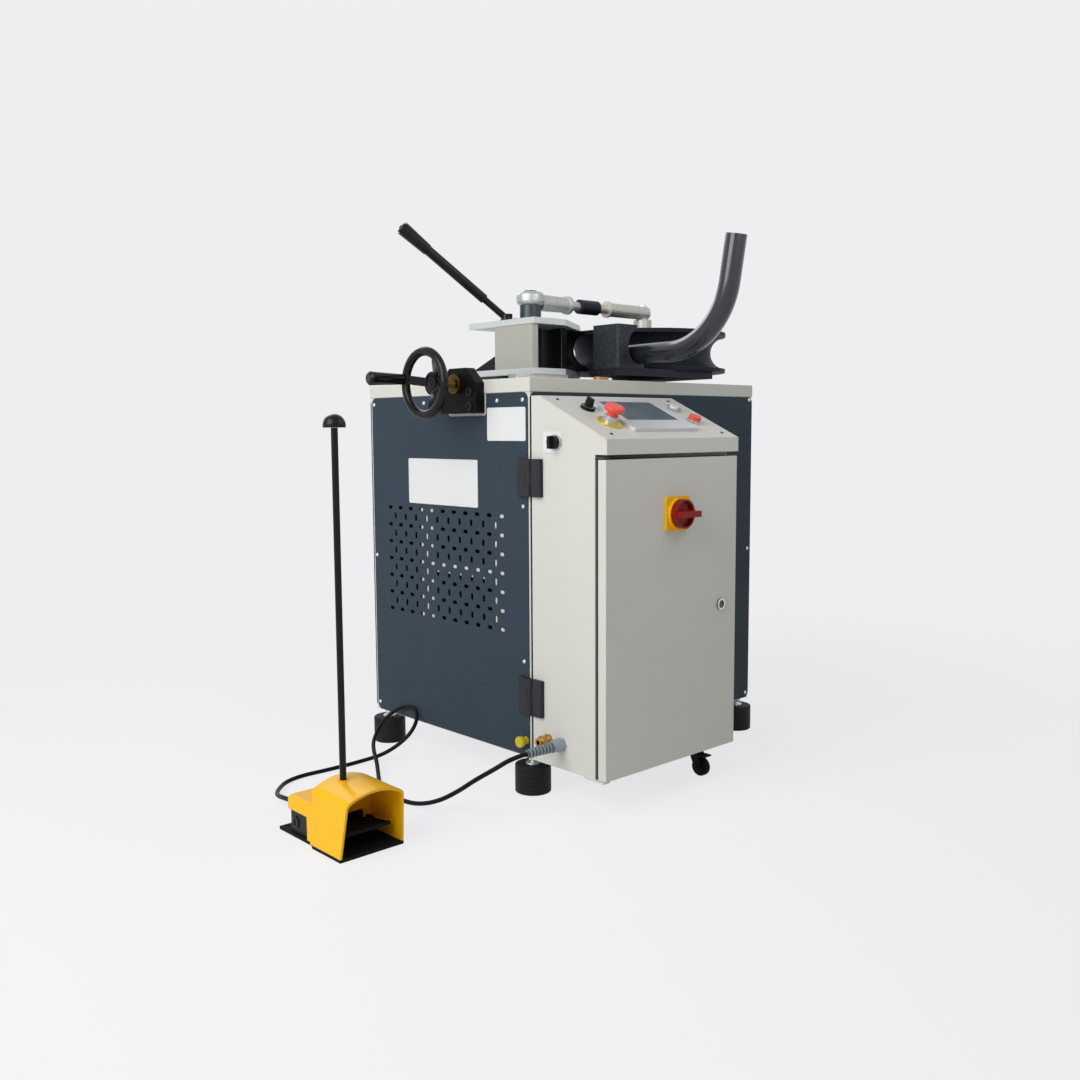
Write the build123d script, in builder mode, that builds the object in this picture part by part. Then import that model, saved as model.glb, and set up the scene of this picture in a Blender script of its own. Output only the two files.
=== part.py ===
from build123d import *
import math
import os

os.makedirs("parts", exist_ok=True)

# All sizes are in millimetres. X runs along the front, Y to the back, Z up.
# The origin is the middle of the front left foot, on the floor.

# Fits
RUN = 0.05
SNUG = 0.3
WELD_GAP = 0.3

# Stand
TABLE_W = 730
TABLE_D = 560
TABLE_T = 28
TABLE_TOP = 850
TABLE_EDGE = 1.5
TUBE = 40
TUBE_WALL = 3
POST_CAP_T = 6
TOP_RAIL_H = 52
FRAME_BOTTOM = 78
PANEL_T = 2
PANEL_EDGE = 8
PANEL_BOTTOM_LAP = 2
PANEL_TOP_SHOW = 1
PANEL_CORNER = 14
TRAY_T = 2
FOOT_INSET = PANEL_T + TUBE / 2
LEFT = -FOOT_INSET
FRONT = -FOOT_INSET
RIGHT = LEFT + TABLE_W
BACK = FRONT + TABLE_D
CENTRE_X = LEFT + TABLE_W / 2
CENTRE_Y = FRONT + TABLE_D / 2
POST_PITCH_X = TABLE_W - 2 * FOOT_INSET
POST_PITCH_Y = TABLE_D - 2 * FOOT_INSET
FRAME_TOP = TABLE_TOP - TABLE_T

# Panel slots, all punched with one round-ended tool
SLOT_LONG = 15
SLOT_WIDE = 8
SLOT_PITCH = 39.5
SLOT_COLUMNS = 11
SLOT_ROWS = 7
SLOTS_MID_Y = FRONT + 287.5
SLOTS_MID_Z = 451

# Feet
FOOT_R = 37.5
FOOT_H = 59
FOOT_EDGE = 3
STUD_R = 6
STUD_SINK = 24
NUT_R = 11
NUT_H = 10
WASHER_R = 15
WASHER_T = 2.5

# Plug low on the left panel
PLUG_Y = FRONT + 17.5
PLUG_Z = 112.5
PLUG_FLANGE_R = 8
PLUG_STEM_R = 5
PLUG_HEAD_R = 11.5
PLUG_FLANGE_T = 3
PLUG_STEM_L = 11
PLUG_HEAD_T = 7

# Levels of the bending head
HEAD_Y = FRONT + 200
GUIDE_H = 13
PLATE_LOW = TABLE_TOP + GUIDE_H
DRIVE_PLATE_T = 17
DIE_LOW = PLATE_LOW + DRIVE_PLATE_T
DIE_H = 94
DIE_TOP = DIE_LOW + DIE_H
PIPE_LEVEL = DIE_LOW + DIE_H / 2
ROD_Z = 1027

# Bending die and spindle
DIE_OFF = 554
DIE_X = LEFT + DIE_OFF
DIE_R = 200
BEND_R = 203
GROOVE_R = 38.5
GROOVE_X = DIE_X - BEND_R
DIE_HUB_R = 70
DIE_RECESS_R = 120
DIE_RECESS = 14
DIE_HOLE_R = 11
DIE_HOLE_PITCH_R = 95
SPINDLE_R = 25
SPINDLE_LOW = 640
SPINDLE_TOP = DIE_TOP + 6
SPINDLE_COLLAR_R = 17
SPINDLE_COLLAR_H = 8
SPINDLE_NECK_R = 12
ROD_PIN_R = 9
ROD_PIN_OVER = 3
BEARING_R = 57
BEARING_SPIGOT_R = 40

# Drive plate and hook block
ARM_LEFT = LEFT + 279
ARM_REACH = 605
ARM_RIGHT = LEFT + ARM_REACH
ARM_FRONT = FRONT + 24
ARM_BACK = FRONT + 110
PLATE_HUB_R = 75
HOOK_W = 62
HOOK_L = 78
HOOK_H = 93
HOOK_EDGE = 4
HOOK_FOOT_REACH = 12
HOOK_FOOT_H = 24

# Bent sample pipe
PIPE_R = 22
PIPE_WALL = 3
PIPE_REST = 0.2
PIPE_Z = PIPE_LEVEL - GROOVE_R + PIPE_R + PIPE_REST
PIPE_START_Y = ARM_FRONT + HOOK_L - 2
PIPE_BEND_Y = FRONT - 60
PIPE_BEND_R = 160
PIPE_BEND_ANGLE = 80.5
PIPE_TAIL = 92

# Carriage
CAR_T = 13
CAR_X = LEFT + 97
CAR_HALF = 106.5
CAR_SQUARE = 93
NOSE_R = 29
ROLLER_GAP = 0.5
ROLLER_THROAT = 14
ROLLER_R = 43
ROLLER_H = 91
ROLLER_X = GROOVE_X - GROOVE_R - ROLLER_THROAT
ROLLER_LOW = PLATE_LOW + CAR_T + ROLLER_GAP
TOP_PLATE_LOW = ROLLER_LOW + ROLLER_H + ROLLER_GAP
TOP_PLATE_TOP = TOP_PLATE_LOW + CAR_T
ROLLER_PIN_R = 10
PIN_HEAD_R = 15
PIN_HEAD_T = 5
SIDE_T = 17
SIDE_SET = 2
SIDE_FRONT = FRONT + 101
SIDE_BACK = FRONT + 221
GUSSET_T = 10
GUSSET_L = 76
GUSSET_H = 30
WEB_IN = 125
WEB_T = 15
WEB_HALF = 60
GUIDE_W = 24
GUIDE_L = 150
GUIDE_X = LEFT + 55
GUIDE_OFF = 85
CAR_TRAVEL = 40

# Lead screw, nut, bracket and handwheel
SCREW_Z = 842
SCREW_R = 10
JOURNAL_R = 9
SCREW_END_X = LEFT + 225
NUT_L = 50
NUT_W = 40
NUT_LOW = SCREW_Z - 16
NUT_X = LEFT + 120
SCREW_SLOT_W = 48
SCREW_SLOT_L = 242
BRACKET_T = 23
BRACKET_HALF = 59
BRACKET_LOW = 781
BRACKET_TOP = 875
BRACKET_CUT = 31
NOTCH_MARGIN = 6
NOTCH_CORNER = 10
BUSH_R = 15
BUSH_FLANGE_R = 20
BUSH_FLANGE_T = 12
WHEEL_X = LEFT - 108.5
WHEEL_R = 64.5
RIM_W = 19
RIM_T = 17
HUB_R = 24
HUB_DISH = 18
HUB_IN = 42
SPOKES = 3
SPOKE_W = 18
SPOKE_T = 9
GRIP_AT = 62.5
GRIP_ANGLE = 9
GRIP_PIN_R = 4
GRIP_ROOT = 12
GRIP_L = 82
GRIP_ROOT_R = 11
GRIP_BELLY_R = 12.6
GRIP_TIP_R = 14.2
GRIP_EDGE = 3.5

# Clamp lever on the carriage
LEVER_X = LEFT + 150
LEVER_Y = FRONT + 240
LEVER_STUD_R = 7
LEVER_BOSS_R = 13
LEVER_BOSS_H = 20
LEVER_TURN = 170
LEVER_RISE = 34.6
LEVER_L = 305
LEVER_ROD_R = 7.5
LEVER_SLEEVE_R = 10.5
LEVER_SLEEVE_AT = 70
LEVER_GRIP_AT = 235
LEVER_GRIP_R = 12
LEVER_GRIP_END_R = 14.5
LEVER_FLUTES = 6
LEVER_FLUTE_R = 3

# Anchor post and tie rod
POST_X = LEFT + 185
POST_R = 23.5
POST_PIN_R = 11
POST_CAP_R = 14
POST_CAP_H = 3
EYE_R = 31
EYE_H = 29
EYE_UP = 6
SOCKET_CLEAR = 1.5
SOCKET_R = 18.5
SOCKET_END_R = 17
SOCKET_END_X = LEFT + 292
COLLAR_R = 20.5
COLLAR_L = 9
SHANK_R = 10.5
SHANK_END_X = LEFT + 385
SLEEVE_R = 16.5
SLEEVE_X = LEFT + 333
SLEEVE_L = 62
FIXED_SHANK_X = LEFT + 388
FIXED_FLANGE_X = LEFT + 425
FIXED_FLANGE_R = 19
FIXED_FLANGE_L = 6
FIXED_R = 16
FIXED_OVER = 14
FIXED_EDGE = 3

# Gear motor under the table, between its motor and the right rail
GEARBOX_W = 190
GEARBOX_ROOM = 39
GEARBOX_D = 200
GEARBOX_H = 200
GEARBOX_LOW = FRAME_TOP - GEARBOX_H
MOTOR_R = 75
MOTOR_L = 270
MOTOR_Z = GEARBOX_LOW + 95
MOTOR_FINS = 16
MOTOR_FIN = 5

# Control cabinet
CAB_W = 396
CAB_T = 2
CAB_LOW = 76
CAB_BACK = FRONT - 4
SHELL_FRONT = FRONT - 179.5
LIP_FRONT = FRONT - 210.7
LIP_LOW = 699
LIP_TOP = 728.3
SLOPE_BACK = FRONT - 27.8
CAB_TOP = 813.2
SLOPE = math.degrees(math.atan2(CAB_TOP - LIP_TOP, SLOPE_BACK - LIP_FRONT))
CABLE_HOLE_W = 120
CABLE_HOLE_D = 60

# Cabinet door
DOOR_BACK = FRONT - 187
DOOR_FRONT = FRONT - 207.6
DOOR_LOW = CAB_LOW + 1
DOOR_TOP = 690
DOOR_SIDE = 0.5
DOOR_HINGE_X = LEFT + 8
DOOR_HINGE_Y = FRONT - 195
DOOR_PIN_R = 3
DOOR_PIN_L = 6
LUG_T = 4
LUG_W = 16
LUG_OVER = 8
LUG_BACK = 30
LOCK_X = LEFT + 344
LOCK_Z = 382
LOCK_R = 12
LOCK_T = 4
LOCK_SHAFT_R = 8
LOCK_SHAFT_L = 14
LOCK_SLOT_W = 3
LOCK_CAM_L = 24
LOCK_CAM_T = 3
MAIN_X = LEFT + 200
MAIN_Z = 580
MAIN_PLATE = 68
MAIN_PLATE_T = 6
MAIN_PLATE_CORNER = 5
MAIN_COLLAR_R = 31
MAIN_COLLAR_T = 6
MAIN_KNOB_R = 29
MAIN_KNOB_T = 13
MAIN_KNOB_RIM = 4
MAIN_KNOB_SINK = 7
MAIN_BAR_W = 12
MAIN_BAR_H = 18
MAIN_SHAFT_R = 6

# Electrical tray
TRAY_W = 340
TRAY_H = 540
TRAY_LOW = 120
GEAR_D = 110
DRIVE_BOX_W = 120
DRIVE_BOX_H = 190
RELAY_W = 45
RELAY_H = 80
RELAY_D = 75
RELAYS = 5
TERMINAL_H = 40
TERMINAL_D = 50

# Controls on the slope: across from the cabinet's left edge, down from the slope's upper edge
SCREEN_ACROSS = 201
SCREEN_DOWN = 100.5
SCREEN_W = 194
SCREEN_H = 141
SCREEN_T = 7
SCREEN_CORNER = 6
SCREEN_BODY_W = 176
SCREEN_BODY_H = 123
SCREEN_BODY_D = 24
GLASS_W = 155
GLASS_H = 90
GLASS_DOWN = -15
GLASS_SINK = 1
SELECTOR_ACROSS = 75
SELECTOR_DOWN = 64
ESTOP_ACROSS = 75
ESTOP_DOWN = 130
START_ACROSS = 334
START_DOWN = 64
STOP_ACROSS = 334
STOP_DOWN = 125
BEZEL_R = 15
BEZEL_T = 6
CAP_R = 11
CAP_LIFT = 3.5
CAP_H = 6
CAP_TRAVEL = 3
YELLOW_R = 26
YELLOW_T = 3
STEM_COLLAR_R = 15
STEM_COLLAR_H = 16
STEM_R = 11
STEM_LIFT = 8
STEM_H = 16
MUSHROOM_R = 20
MUSHROOM_H = 13
MUSHROOM_EDGE = 5
STOP_CAP_R = 13
STOP_CAP_H = 10
KNOB_R = 9
KNOB_H = 9
KNOB_SHAFT_R = 6
KNOB_BAR_W = 7
KNOB_BAR_H = 8

# Selector on the cabinet's left side
SIDE_SEL_Y = FRONT - 76
SIDE_SEL_DOWN = 91.2
SIDE_SEL_Z = CAB_TOP - SIDE_SEL_DOWN
SIDE_KNOB_R = 13

# Cable glands on the cabinet's left side
GLAND_Y = FRONT - 87.4
GLAND_Z = 126.4
GLAND_NUT_R = 14
GLAND_NUT_L = 14
GLAND_DOME_R = 12
GLAND_DOME_L = 12
TAIL_L = 68
TAIL_ROOT_R = 10.5
TAIL_TIP_R = 8.5
TAIL_RIBS = 8
TAIL_GROOVE = 2.4
BRASS_Y = FRONT - 50
BRASS_Z = 127.5
BRASS_FLANGE_R = 13
BRASS_FLANGE_L = 6
BRASS_NUT_R = 12
BRASS_NUT_L = 12
BRASS_TIP_R = 9
BRASS_TIP_L = 6
BRASS_BORE_R = 5
BRASS_HOLE_R = 8

# Cabinet hinges
HINGE_X = LEFT - 6
HINGE_Y = FRONT - 2
HINGE_LOWS = (170, 614)
HINGE_H = 75
HINGE_R = 6
HINGE_PIN_R = 3
LEAF_T = 9
LEAF_L = 28
LEAF_EDGE = 3
LEAF_OFF = 7
KNUCKLE_GAP = 0.5
KNUCKLE_END = 20

# Castor under the cabinet
CASTOR_X = LEFT + 351
CASTOR_Y = FRONT - 134
CASTOR_TRAIL = 22
CASTOR_R = 20
CASTOR_W = 17
CASTOR_EDGE = 4
AXLE_R = 4
AXLE_OVER = 4
CHEEK_T = 3
CHEEK_GAP = 1
CHEEK_W = 20
CROWN_R = 22
CROWN_T = 6
CASTOR_STEM_R = 6
CASTOR_STEM_L = 26
CASTOR_BOSS_R = 14
CASTOR_TOP_GAP = 0.5
BRAKE_L = 28
BRAKE_T = 3
BRAKE_GAP = 4

# Foot switch
PEDAL_X = LEFT - 409.5
PEDAL_FRONT = FRONT - 28
PEDAL_W = 134
PEDAL_STEP_Y = FRONT + 66
PEDAL_REAR_W = 122
PEDAL_BACK = FRONT + 192
PEDAL_T = 6
PEDAL_CORNER = 6
PEDAL_HOLE_R = 4
HOOD_WALL = 4
HOOD_LEAN = 16
HOOD_SIDE_LEAN = 7
HOOD_SHOULDER = 106
HOOD_ROUND = 14
HOOD_CROWN_FRONT = 120
HOOD_CROWN_BACK = 122
HOOD_BACK = FRONT + 72
HOOD_WINDOW_W = 90
HOOD_WINDOW_H = 40
SKIRT_L = 20
COVER_BACK = FRONT + 158
COVER_LOW = 50
COVER_TOP = 75
COVER_ROUND = 10
SWITCH_FRONT = FRONT + 74
SWITCH_BACK = FRONT + 156
SWITCH_W = 112
SWITCH_TOP = 62
ENTRY_X = PEDAL_X - 26
ENTRY_Z = 43
ENTRY_R = 9
ENTRY_L = 10
TREADLE_Y = FRONT + 56
TREADLE_Z = 26
TREADLE_PIN_R = 4
TREADLE_PIN_L = 112
TREADLE_BARREL_R = 8
TREADLE_W = 98
TREADLE_L = 72
TREADLE_T = 6
TREADLE_RISE = 9
LUG_PLATE_T = 5
LUG_PLATE_W = 18
LUG_PLATE_TOP = TREADLE_Z + 9
POLE_X = PEDAL_X - 14.5
POLE_Y = FRONT + 40
POLE_R = 6.1
POLE_TOP = 752
POLE_BOSS_R = 10
POLE_BOSS_TOP = HOOD_CROWN_BACK
POLE_SPIGOT_R = 4
POLE_SPIGOT_L = 10
POLE_CAP_R = 20
POLE_CAP_RIM = 6
POLE_CAP_H = 24

# Foot switch cable: hand-laid route, from the gland's tail to the switch box
CABLE_D = 9
CABLE_BED = CABLE_D / 2 + SNUG
TAIL_END_X = LEFT - GLAND_NUT_L - GLAND_DOME_L - TAIL_L
ENTRY_Y = SWITCH_BACK + ENTRY_L
CABLE_ROUTE = [
    (TAIL_END_X, GLAND_Y, GLAND_Z),
    (LEFT - 130, GLAND_Y, GLAND_Z),
    (LEFT - 162, FRONT - 70, 107),
    (LEFT - 174, FRONT - 29, 80),
    (LEFT - 183, FRONT + 13, 49),
    (LEFT - 197, FRONT + 60, 20),
    (LEFT - 213, FRONT + 110, CABLE_BED),
    (LEFT - 221, FRONT + 165, CABLE_BED),
    (LEFT - 214, FRONT + 220, CABLE_BED),
    (LEFT - 192, FRONT + 270, CABLE_BED),
    (LEFT - 164, FRONT + 316, 9),
    (LEFT - 140, FRONT + 356, 20),
    (LEFT - 118, FRONT + 400, 29),
    (LEFT - 93, FRONT + 440, 38),
    (LEFT - 62, FRONT + 466, 54),
    (LEFT - 34, FRONT + 468, 81),
    (LEFT - 10, FRONT + 445, 103),
    (LEFT - 3, FRONT + 406, 109),
    (LEFT - 16, FRONT + 370, 97),
    (LEFT - 42, FRONT + 355, 71),
    (LEFT - 69, FRONT + 368, 43),
    (LEFT - 92, FRONT + 404, 15),
    (LEFT - 126, FRONT + 426, CABLE_BED),
    (LEFT - 174, FRONT + 423, CABLE_BED),
    (LEFT - 230, FRONT + 424, CABLE_BED),
    (LEFT - 284, FRONT + 428, CABLE_BED),
    (LEFT - 330, FRONT + 416, CABLE_BED),
    (LEFT - 370, FRONT + 376, 8),
    (LEFT - 402, FRONT + 326, 18),
    (LEFT - 424, FRONT + 276, 31),
    (LEFT - 434, FRONT + 236, 40),
    (ENTRY_X, ENTRY_Y + 30, ENTRY_Z),
    (ENTRY_X, ENTRY_Y, ENTRY_Z),
]

# Ways of setting a solid on its place
FOOT = (Align.CENTER, Align.CENTER, Align.MIN)
CORNER = (Align.MIN, Align.MIN, Align.MIN)


def keep(piece, name):
    """Names a finished piece and writes its file."""
    piece.part.label = name
    export_step(piece.part, f"parts/{name}.step")


def towards_left(x, y, z):
    """Plane that looks to -X, with its own up along Z."""
    return Plane(origin=(x, y, z), x_dir=(0, -1, 0), z_dir=(-1, 0, 0))


def towards_right(x, y, z):
    """Plane that looks to +X, with its own up along Z."""
    return Plane(origin=(x, y, z), x_dir=(0, 1, 0), z_dir=(1, 0, 0))


def towards_front(x, y, z):
    """Plane that looks to -Y, with its own up along Z."""
    return Plane(origin=(x, y, z), x_dir=(1, 0, 0), z_dir=(0, -1, 0))


def on_slope(across, down):
    """Plane on the cabinet's sloped face, looking out of it."""
    rise = math.radians(SLOPE)
    y = SLOPE_BACK - down * math.cos(rise)
    z = CAB_TOP - down * math.sin(rise)
    normal = (0, -math.sin(rise), math.cos(rise))
    return Plane(origin=(LEFT + across, y, z), x_dir=(1, 0, 0), z_dir=normal)


def stack(plane, *steps):
    """Coaxial cylinders, one on the other, each given as radius and height."""
    level = 0
    for radius, height in steps:
        with Locations(plane.offset(level)):
            Cylinder(radius, height, align=FOOT)
        level += height


def drill(plane, radius, depth):
    """Round hole from the plane along its own axis."""
    with Locations(plane):
        Cylinder(radius, depth, align=FOOT, mode=Mode.SUBTRACT)


def block(low, high, mode=Mode.ADD):
    """Box between two corners."""
    sizes = [b - a for a, b in zip(low, high)]
    with Locations(low):
        Box(*sizes, align=CORNER, mode=mode)


# Square tubes of the stand: four posts with closed lower ends, and eight rails
RAIL_X_L = POST_PITCH_X - TUBE - 2 * WELD_GAP
RAIL_Y_L = POST_PITCH_Y - TUBE - 2 * WELD_GAP
RAIL_LEVELS = ((FRAME_BOTTOM, TUBE), (FRAME_TOP - TOP_RAIL_H, TOP_RAIL_H))
BORE = TUBE - 2 * TUBE_WALL
POST_PLACES = [(x, y) for x in (0, POST_PITCH_X) for y in (0, POST_PITCH_Y)]

with BuildPart() as frame_tubes:
    with BuildSketch(Plane.XY.offset(FRAME_BOTTOM)):
        with Locations(*POST_PLACES):
            Rectangle(TUBE, TUBE)
    extrude(amount=FRAME_TOP - FRAME_BOTTOM)
    with BuildSketch(Plane.XY.offset(FRAME_BOTTOM + POST_CAP_T)):
        with Locations(*POST_PLACES):
            Rectangle(BORE, BORE)
    extrude(amount=FRAME_TOP - FRAME_BOTTOM - POST_CAP_T, mode=Mode.SUBTRACT)
    for low, high in RAIL_LEVELS:
        with Locations(*[(CENTRE_X, y, low + high / 2) for y in (0, POST_PITCH_Y)]):
            Box(RAIL_X_L, TUBE, high)
            Box(RAIL_X_L, BORE, high - 2 * TUBE_WALL, mode=Mode.SUBTRACT)
        with Locations(*[(x, CENTRE_Y, low + high / 2) for x in (0, POST_PITCH_X)]):
            Box(TUBE, RAIL_Y_L, high)
            Box(BORE, RAIL_Y_L, high - 2 * TUBE_WALL, mode=Mode.SUBTRACT)
keep(frame_tubes, "frame_tubes")

# Tray on the lower rails, cut out round the posts
with BuildPart() as base_tray:
    with BuildSketch(Plane.XY.offset(FRAME_BOTTOM + TUBE)):
        with Locations((CENTRE_X, CENTRE_Y)):
            Rectangle(POST_PITCH_X + TUBE - SNUG, POST_PITCH_Y + TUBE - SNUG)
        with Locations(*POST_PLACES):
            Rectangle(TUBE + SNUG, TUBE + SNUG, mode=Mode.SUBTRACT)
    extrude(amount=TRAY_T)
keep(base_tray, "base_tray")

# Table plate with the spindle hole and the slot for the screw and its nut
with BuildPart() as table_plate:
    with Locations((CENTRE_X, CENTRE_Y, FRAME_TOP)):
        Box(TABLE_W, TABLE_D, TABLE_T, align=FOOT)
    chamfer(table_plate.edges().group_by(Axis.Z)[-1], length=TABLE_EDGE)
    with BuildSketch(Plane.XY.offset(FRAME_TOP)):
        with Locations((DIE_X, HEAD_Y)):
            Circle(BEARING_SPIGOT_R + RUN)
        with Locations((LEFT + SCREW_SLOT_L / 2, HEAD_Y)):
            Rectangle(SCREW_SLOT_L, SCREW_SLOT_W)
    extrude(amount=TABLE_T, mode=Mode.SUBTRACT)
keep(table_plate, "table_plate")

# Left panel: rounded corners, a notch round the bracket and two sets of slots
PANEL_LOW = FRAME_BOTTOM + PANEL_BOTTOM_LAP
PANEL_TOP = FRAME_TOP - PANEL_TOP_SHOW
PANEL_H = PANEL_TOP - PANEL_LOW
PANEL_MID_Z = (PANEL_LOW + PANEL_TOP) / 2
NOTCH_W = 2 * (BRACKET_HALF + NOTCH_MARGIN)
NOTCH_H = 2 * (PANEL_TOP - BRACKET_LOW + NOTCH_MARGIN)
SIDE_PLANE = towards_left(LEFT, CENTRE_Y, PANEL_MID_Z)

with BuildPart() as left_panel:
    with BuildSketch(SIDE_PLANE):
        RectangleRounded(TABLE_D - 2 * PANEL_EDGE, PANEL_H, PANEL_CORNER)
        with Locations((CENTRE_Y - HEAD_Y, PANEL_H / 2)):
            RectangleRounded(NOTCH_W, NOTCH_H, NOTCH_CORNER, mode=Mode.SUBTRACT)
        with Locations((CENTRE_Y - SLOTS_MID_Y, SLOTS_MID_Z - PANEL_MID_Z)):
            with GridLocations(SLOT_PITCH, SLOT_PITCH, SLOT_COLUMNS, SLOT_ROWS):
                SlotOverall(SLOT_LONG, SLOT_WIDE, mode=Mode.SUBTRACT)
            with GridLocations(SLOT_PITCH, SLOT_PITCH, SLOT_COLUMNS - 1, SLOT_ROWS - 1):
                SlotOverall(SLOT_LONG, SLOT_WIDE, rotation=90, mode=Mode.SUBTRACT)
    extrude(amount=-PANEL_T)
keep(left_panel, "left_panel")

# Plain panels on the other three sides
with BuildPart() as right_panel:
    with BuildSketch(towards_right(RIGHT, CENTRE_Y, PANEL_MID_Z)):
        RectangleRounded(TABLE_D - 2 * PANEL_EDGE, PANEL_H, PANEL_CORNER)
    extrude(amount=-PANEL_T)
keep(right_panel, "right_panel")

with BuildPart() as front_panel:
    with BuildSketch(towards_front(CENTRE_X, FRONT, PANEL_MID_Z)):
        RectangleRounded(TABLE_W - PANEL_T, PANEL_H, PANEL_CORNER)
    extrude(amount=-PANEL_T)
keep(front_panel, "front_panel")

with BuildPart() as rear_panel:
    with BuildSketch(towards_front(CENTRE_X, BACK, PANEL_MID_Z)):
        RectangleRounded(TABLE_W - PANEL_T, PANEL_H, PANEL_CORNER)
    extrude(amount=PANEL_T)
keep(rear_panel, "rear_panel")

# Rubber feet, each with a socket for its stud
with BuildPart() as rubber_feet:
    with Locations(*POST_PLACES):
        Cylinder(FOOT_R, FOOT_H, align=FOOT)
    fillet(rubber_feet.edges().filter_by(GeomType.CIRCLE), radius=FOOT_EDGE)
    with Locations(*[(x, y, FOOT_H - STUD_SINK) for x, y in POST_PLACES]):
        Cylinder(STUD_R + RUN, STUD_SINK, align=FOOT, mode=Mode.SUBTRACT)
keep(rubber_feet, "rubber_feet")

# Threaded studs with a washer on the foot and a nut under the post
with BuildPart() as foot_studs:
    with Locations(*[(x, y, FOOT_H - STUD_SINK) for x, y in POST_PLACES]):
        Cylinder(STUD_R, FRAME_BOTTOM - FOOT_H + STUD_SINK, align=FOOT)
    with Locations(*[(x, y, FOOT_H) for x, y in POST_PLACES]):
        Cylinder(WASHER_R, WASHER_T, align=FOOT)
    with BuildSketch(Plane.XY.offset(FRAME_BOTTOM - NUT_H)):
        with Locations(*POST_PLACES):
            RegularPolygon(NUT_R, 6)
    extrude(amount=NUT_H)
keep(foot_studs, "foot_studs")

# Plug on the left panel
with BuildPart() as yellow_plug:
    stack(
        towards_left(LEFT, PLUG_Y, PLUG_Z),
        (PLUG_FLANGE_R, PLUG_FLANGE_T),
        (PLUG_STEM_R, PLUG_STEM_L),
        (PLUG_HEAD_R, PLUG_HEAD_T),
    )
keep(yellow_plug, "yellow_plug")

# Bracket that carries the screw's outer end
with BuildPart() as screw_bracket:
    with BuildSketch(towards_left(LEFT, HEAD_Y, 0)):
        with BuildLine():
            Polyline(
                (-BRACKET_HALF, BRACKET_LOW),
                (BRACKET_HALF, BRACKET_LOW),
                (BRACKET_HALF, BRACKET_TOP - BRACKET_CUT),
                (BRACKET_HALF - BRACKET_CUT, BRACKET_TOP),
                (BRACKET_CUT - BRACKET_HALF, BRACKET_TOP),
                (-BRACKET_HALF, BRACKET_TOP - BRACKET_CUT),
                close=True,
            )
        make_face()
    extrude(amount=BRACKET_T)
    drill(towards_left(LEFT, HEAD_Y, SCREW_Z), BUSH_R, BRACKET_T)
keep(screw_bracket, "screw_bracket")

with BuildPart() as screw_bush:
    stack(
        towards_left(LEFT, HEAD_Y, SCREW_Z),
        (BUSH_R, BRACKET_T),
        (BUSH_FLANGE_R, BUSH_FLANGE_T),
    )
    drill(towards_left(LEFT, HEAD_Y, SCREW_Z), JOURNAL_R + RUN, BRACKET_T + BUSH_FLANGE_T)
keep(screw_bush, "screw_bush")

# Lead screw: thread core, then the journal through the bush and the wheel's hub
JOURNAL_L = LEFT - (WHEEL_X + HUB_DISH)

with BuildPart() as lead_screw:
    stack(
        towards_left(SCREW_END_X, HEAD_Y, SCREW_Z),
        (SCREW_R, SCREW_END_X - LEFT - RUN),
        (JOURNAL_R, JOURNAL_L + RUN),
    )
keep(lead_screw, "lead_screw")

# Handwheel: ring, three flat spokes, hub and the pin of the revolving grip
WHEEL_PLANE = towards_left(WHEEL_X, HEAD_Y, SCREW_Z)
GRIP_Y = HEAD_Y + GRIP_AT * math.cos(math.radians(GRIP_ANGLE))
GRIP_Z = SCREW_Z + GRIP_AT * math.sin(math.radians(GRIP_ANGLE))
SPOKE_ANGLES = [180 - GRIP_ANGLE + turn * 360 / SPOKES for turn in range(SPOKES)]
SPOKE_ROOT = HUB_R / 2
SPOKE_DROP = HUB_DISH + SPOKE_T
SPOKE_REACH = WHEEL_R - RIM_W / 4 - SPOKE_ROOT
SPOKE_TILT = math.degrees(math.atan2(SPOKE_DROP, SPOKE_REACH))
SPOKE_L = math.hypot(SPOKE_DROP, SPOKE_REACH)
SPOKE_LEAN = Location((SPOKE_ROOT, 0, -SPOKE_DROP), (0, -SPOKE_TILT, 0))

with BuildPart() as handwheel:
    stack(WHEEL_PLANE.offset(-HUB_IN), (HUB_R, HUB_IN - HUB_DISH))
    for angle in SPOKE_ANGLES:
        with Locations(WHEEL_PLANE.location * Location((0, 0, 0), (0, 0, angle)) * SPOKE_LEAN):
            Box(SPOKE_L, SPOKE_W, SPOKE_T, align=(Align.MIN, Align.CENTER, Align.CENTER))
    with BuildSketch(Plane(origin=(WHEEL_X, HEAD_Y, SCREW_Z), x_dir=(0, 0, 1), z_dir=(0, 1, 0))):
        with Locations((WHEEL_R, 0)):
            SlotOverall(RIM_W, RIM_T)
    revolve(axis=Axis((WHEEL_X, HEAD_Y, SCREW_Z), (1, 0, 0)))
    stack(towards_left(WHEEL_X, GRIP_Y, GRIP_Z), (GRIP_PIN_R, GRIP_ROOT + GRIP_L))
    drill(WHEEL_PLANE.offset(-HUB_IN), JOURNAL_R, HUB_IN)
keep(handwheel, "handwheel")

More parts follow.
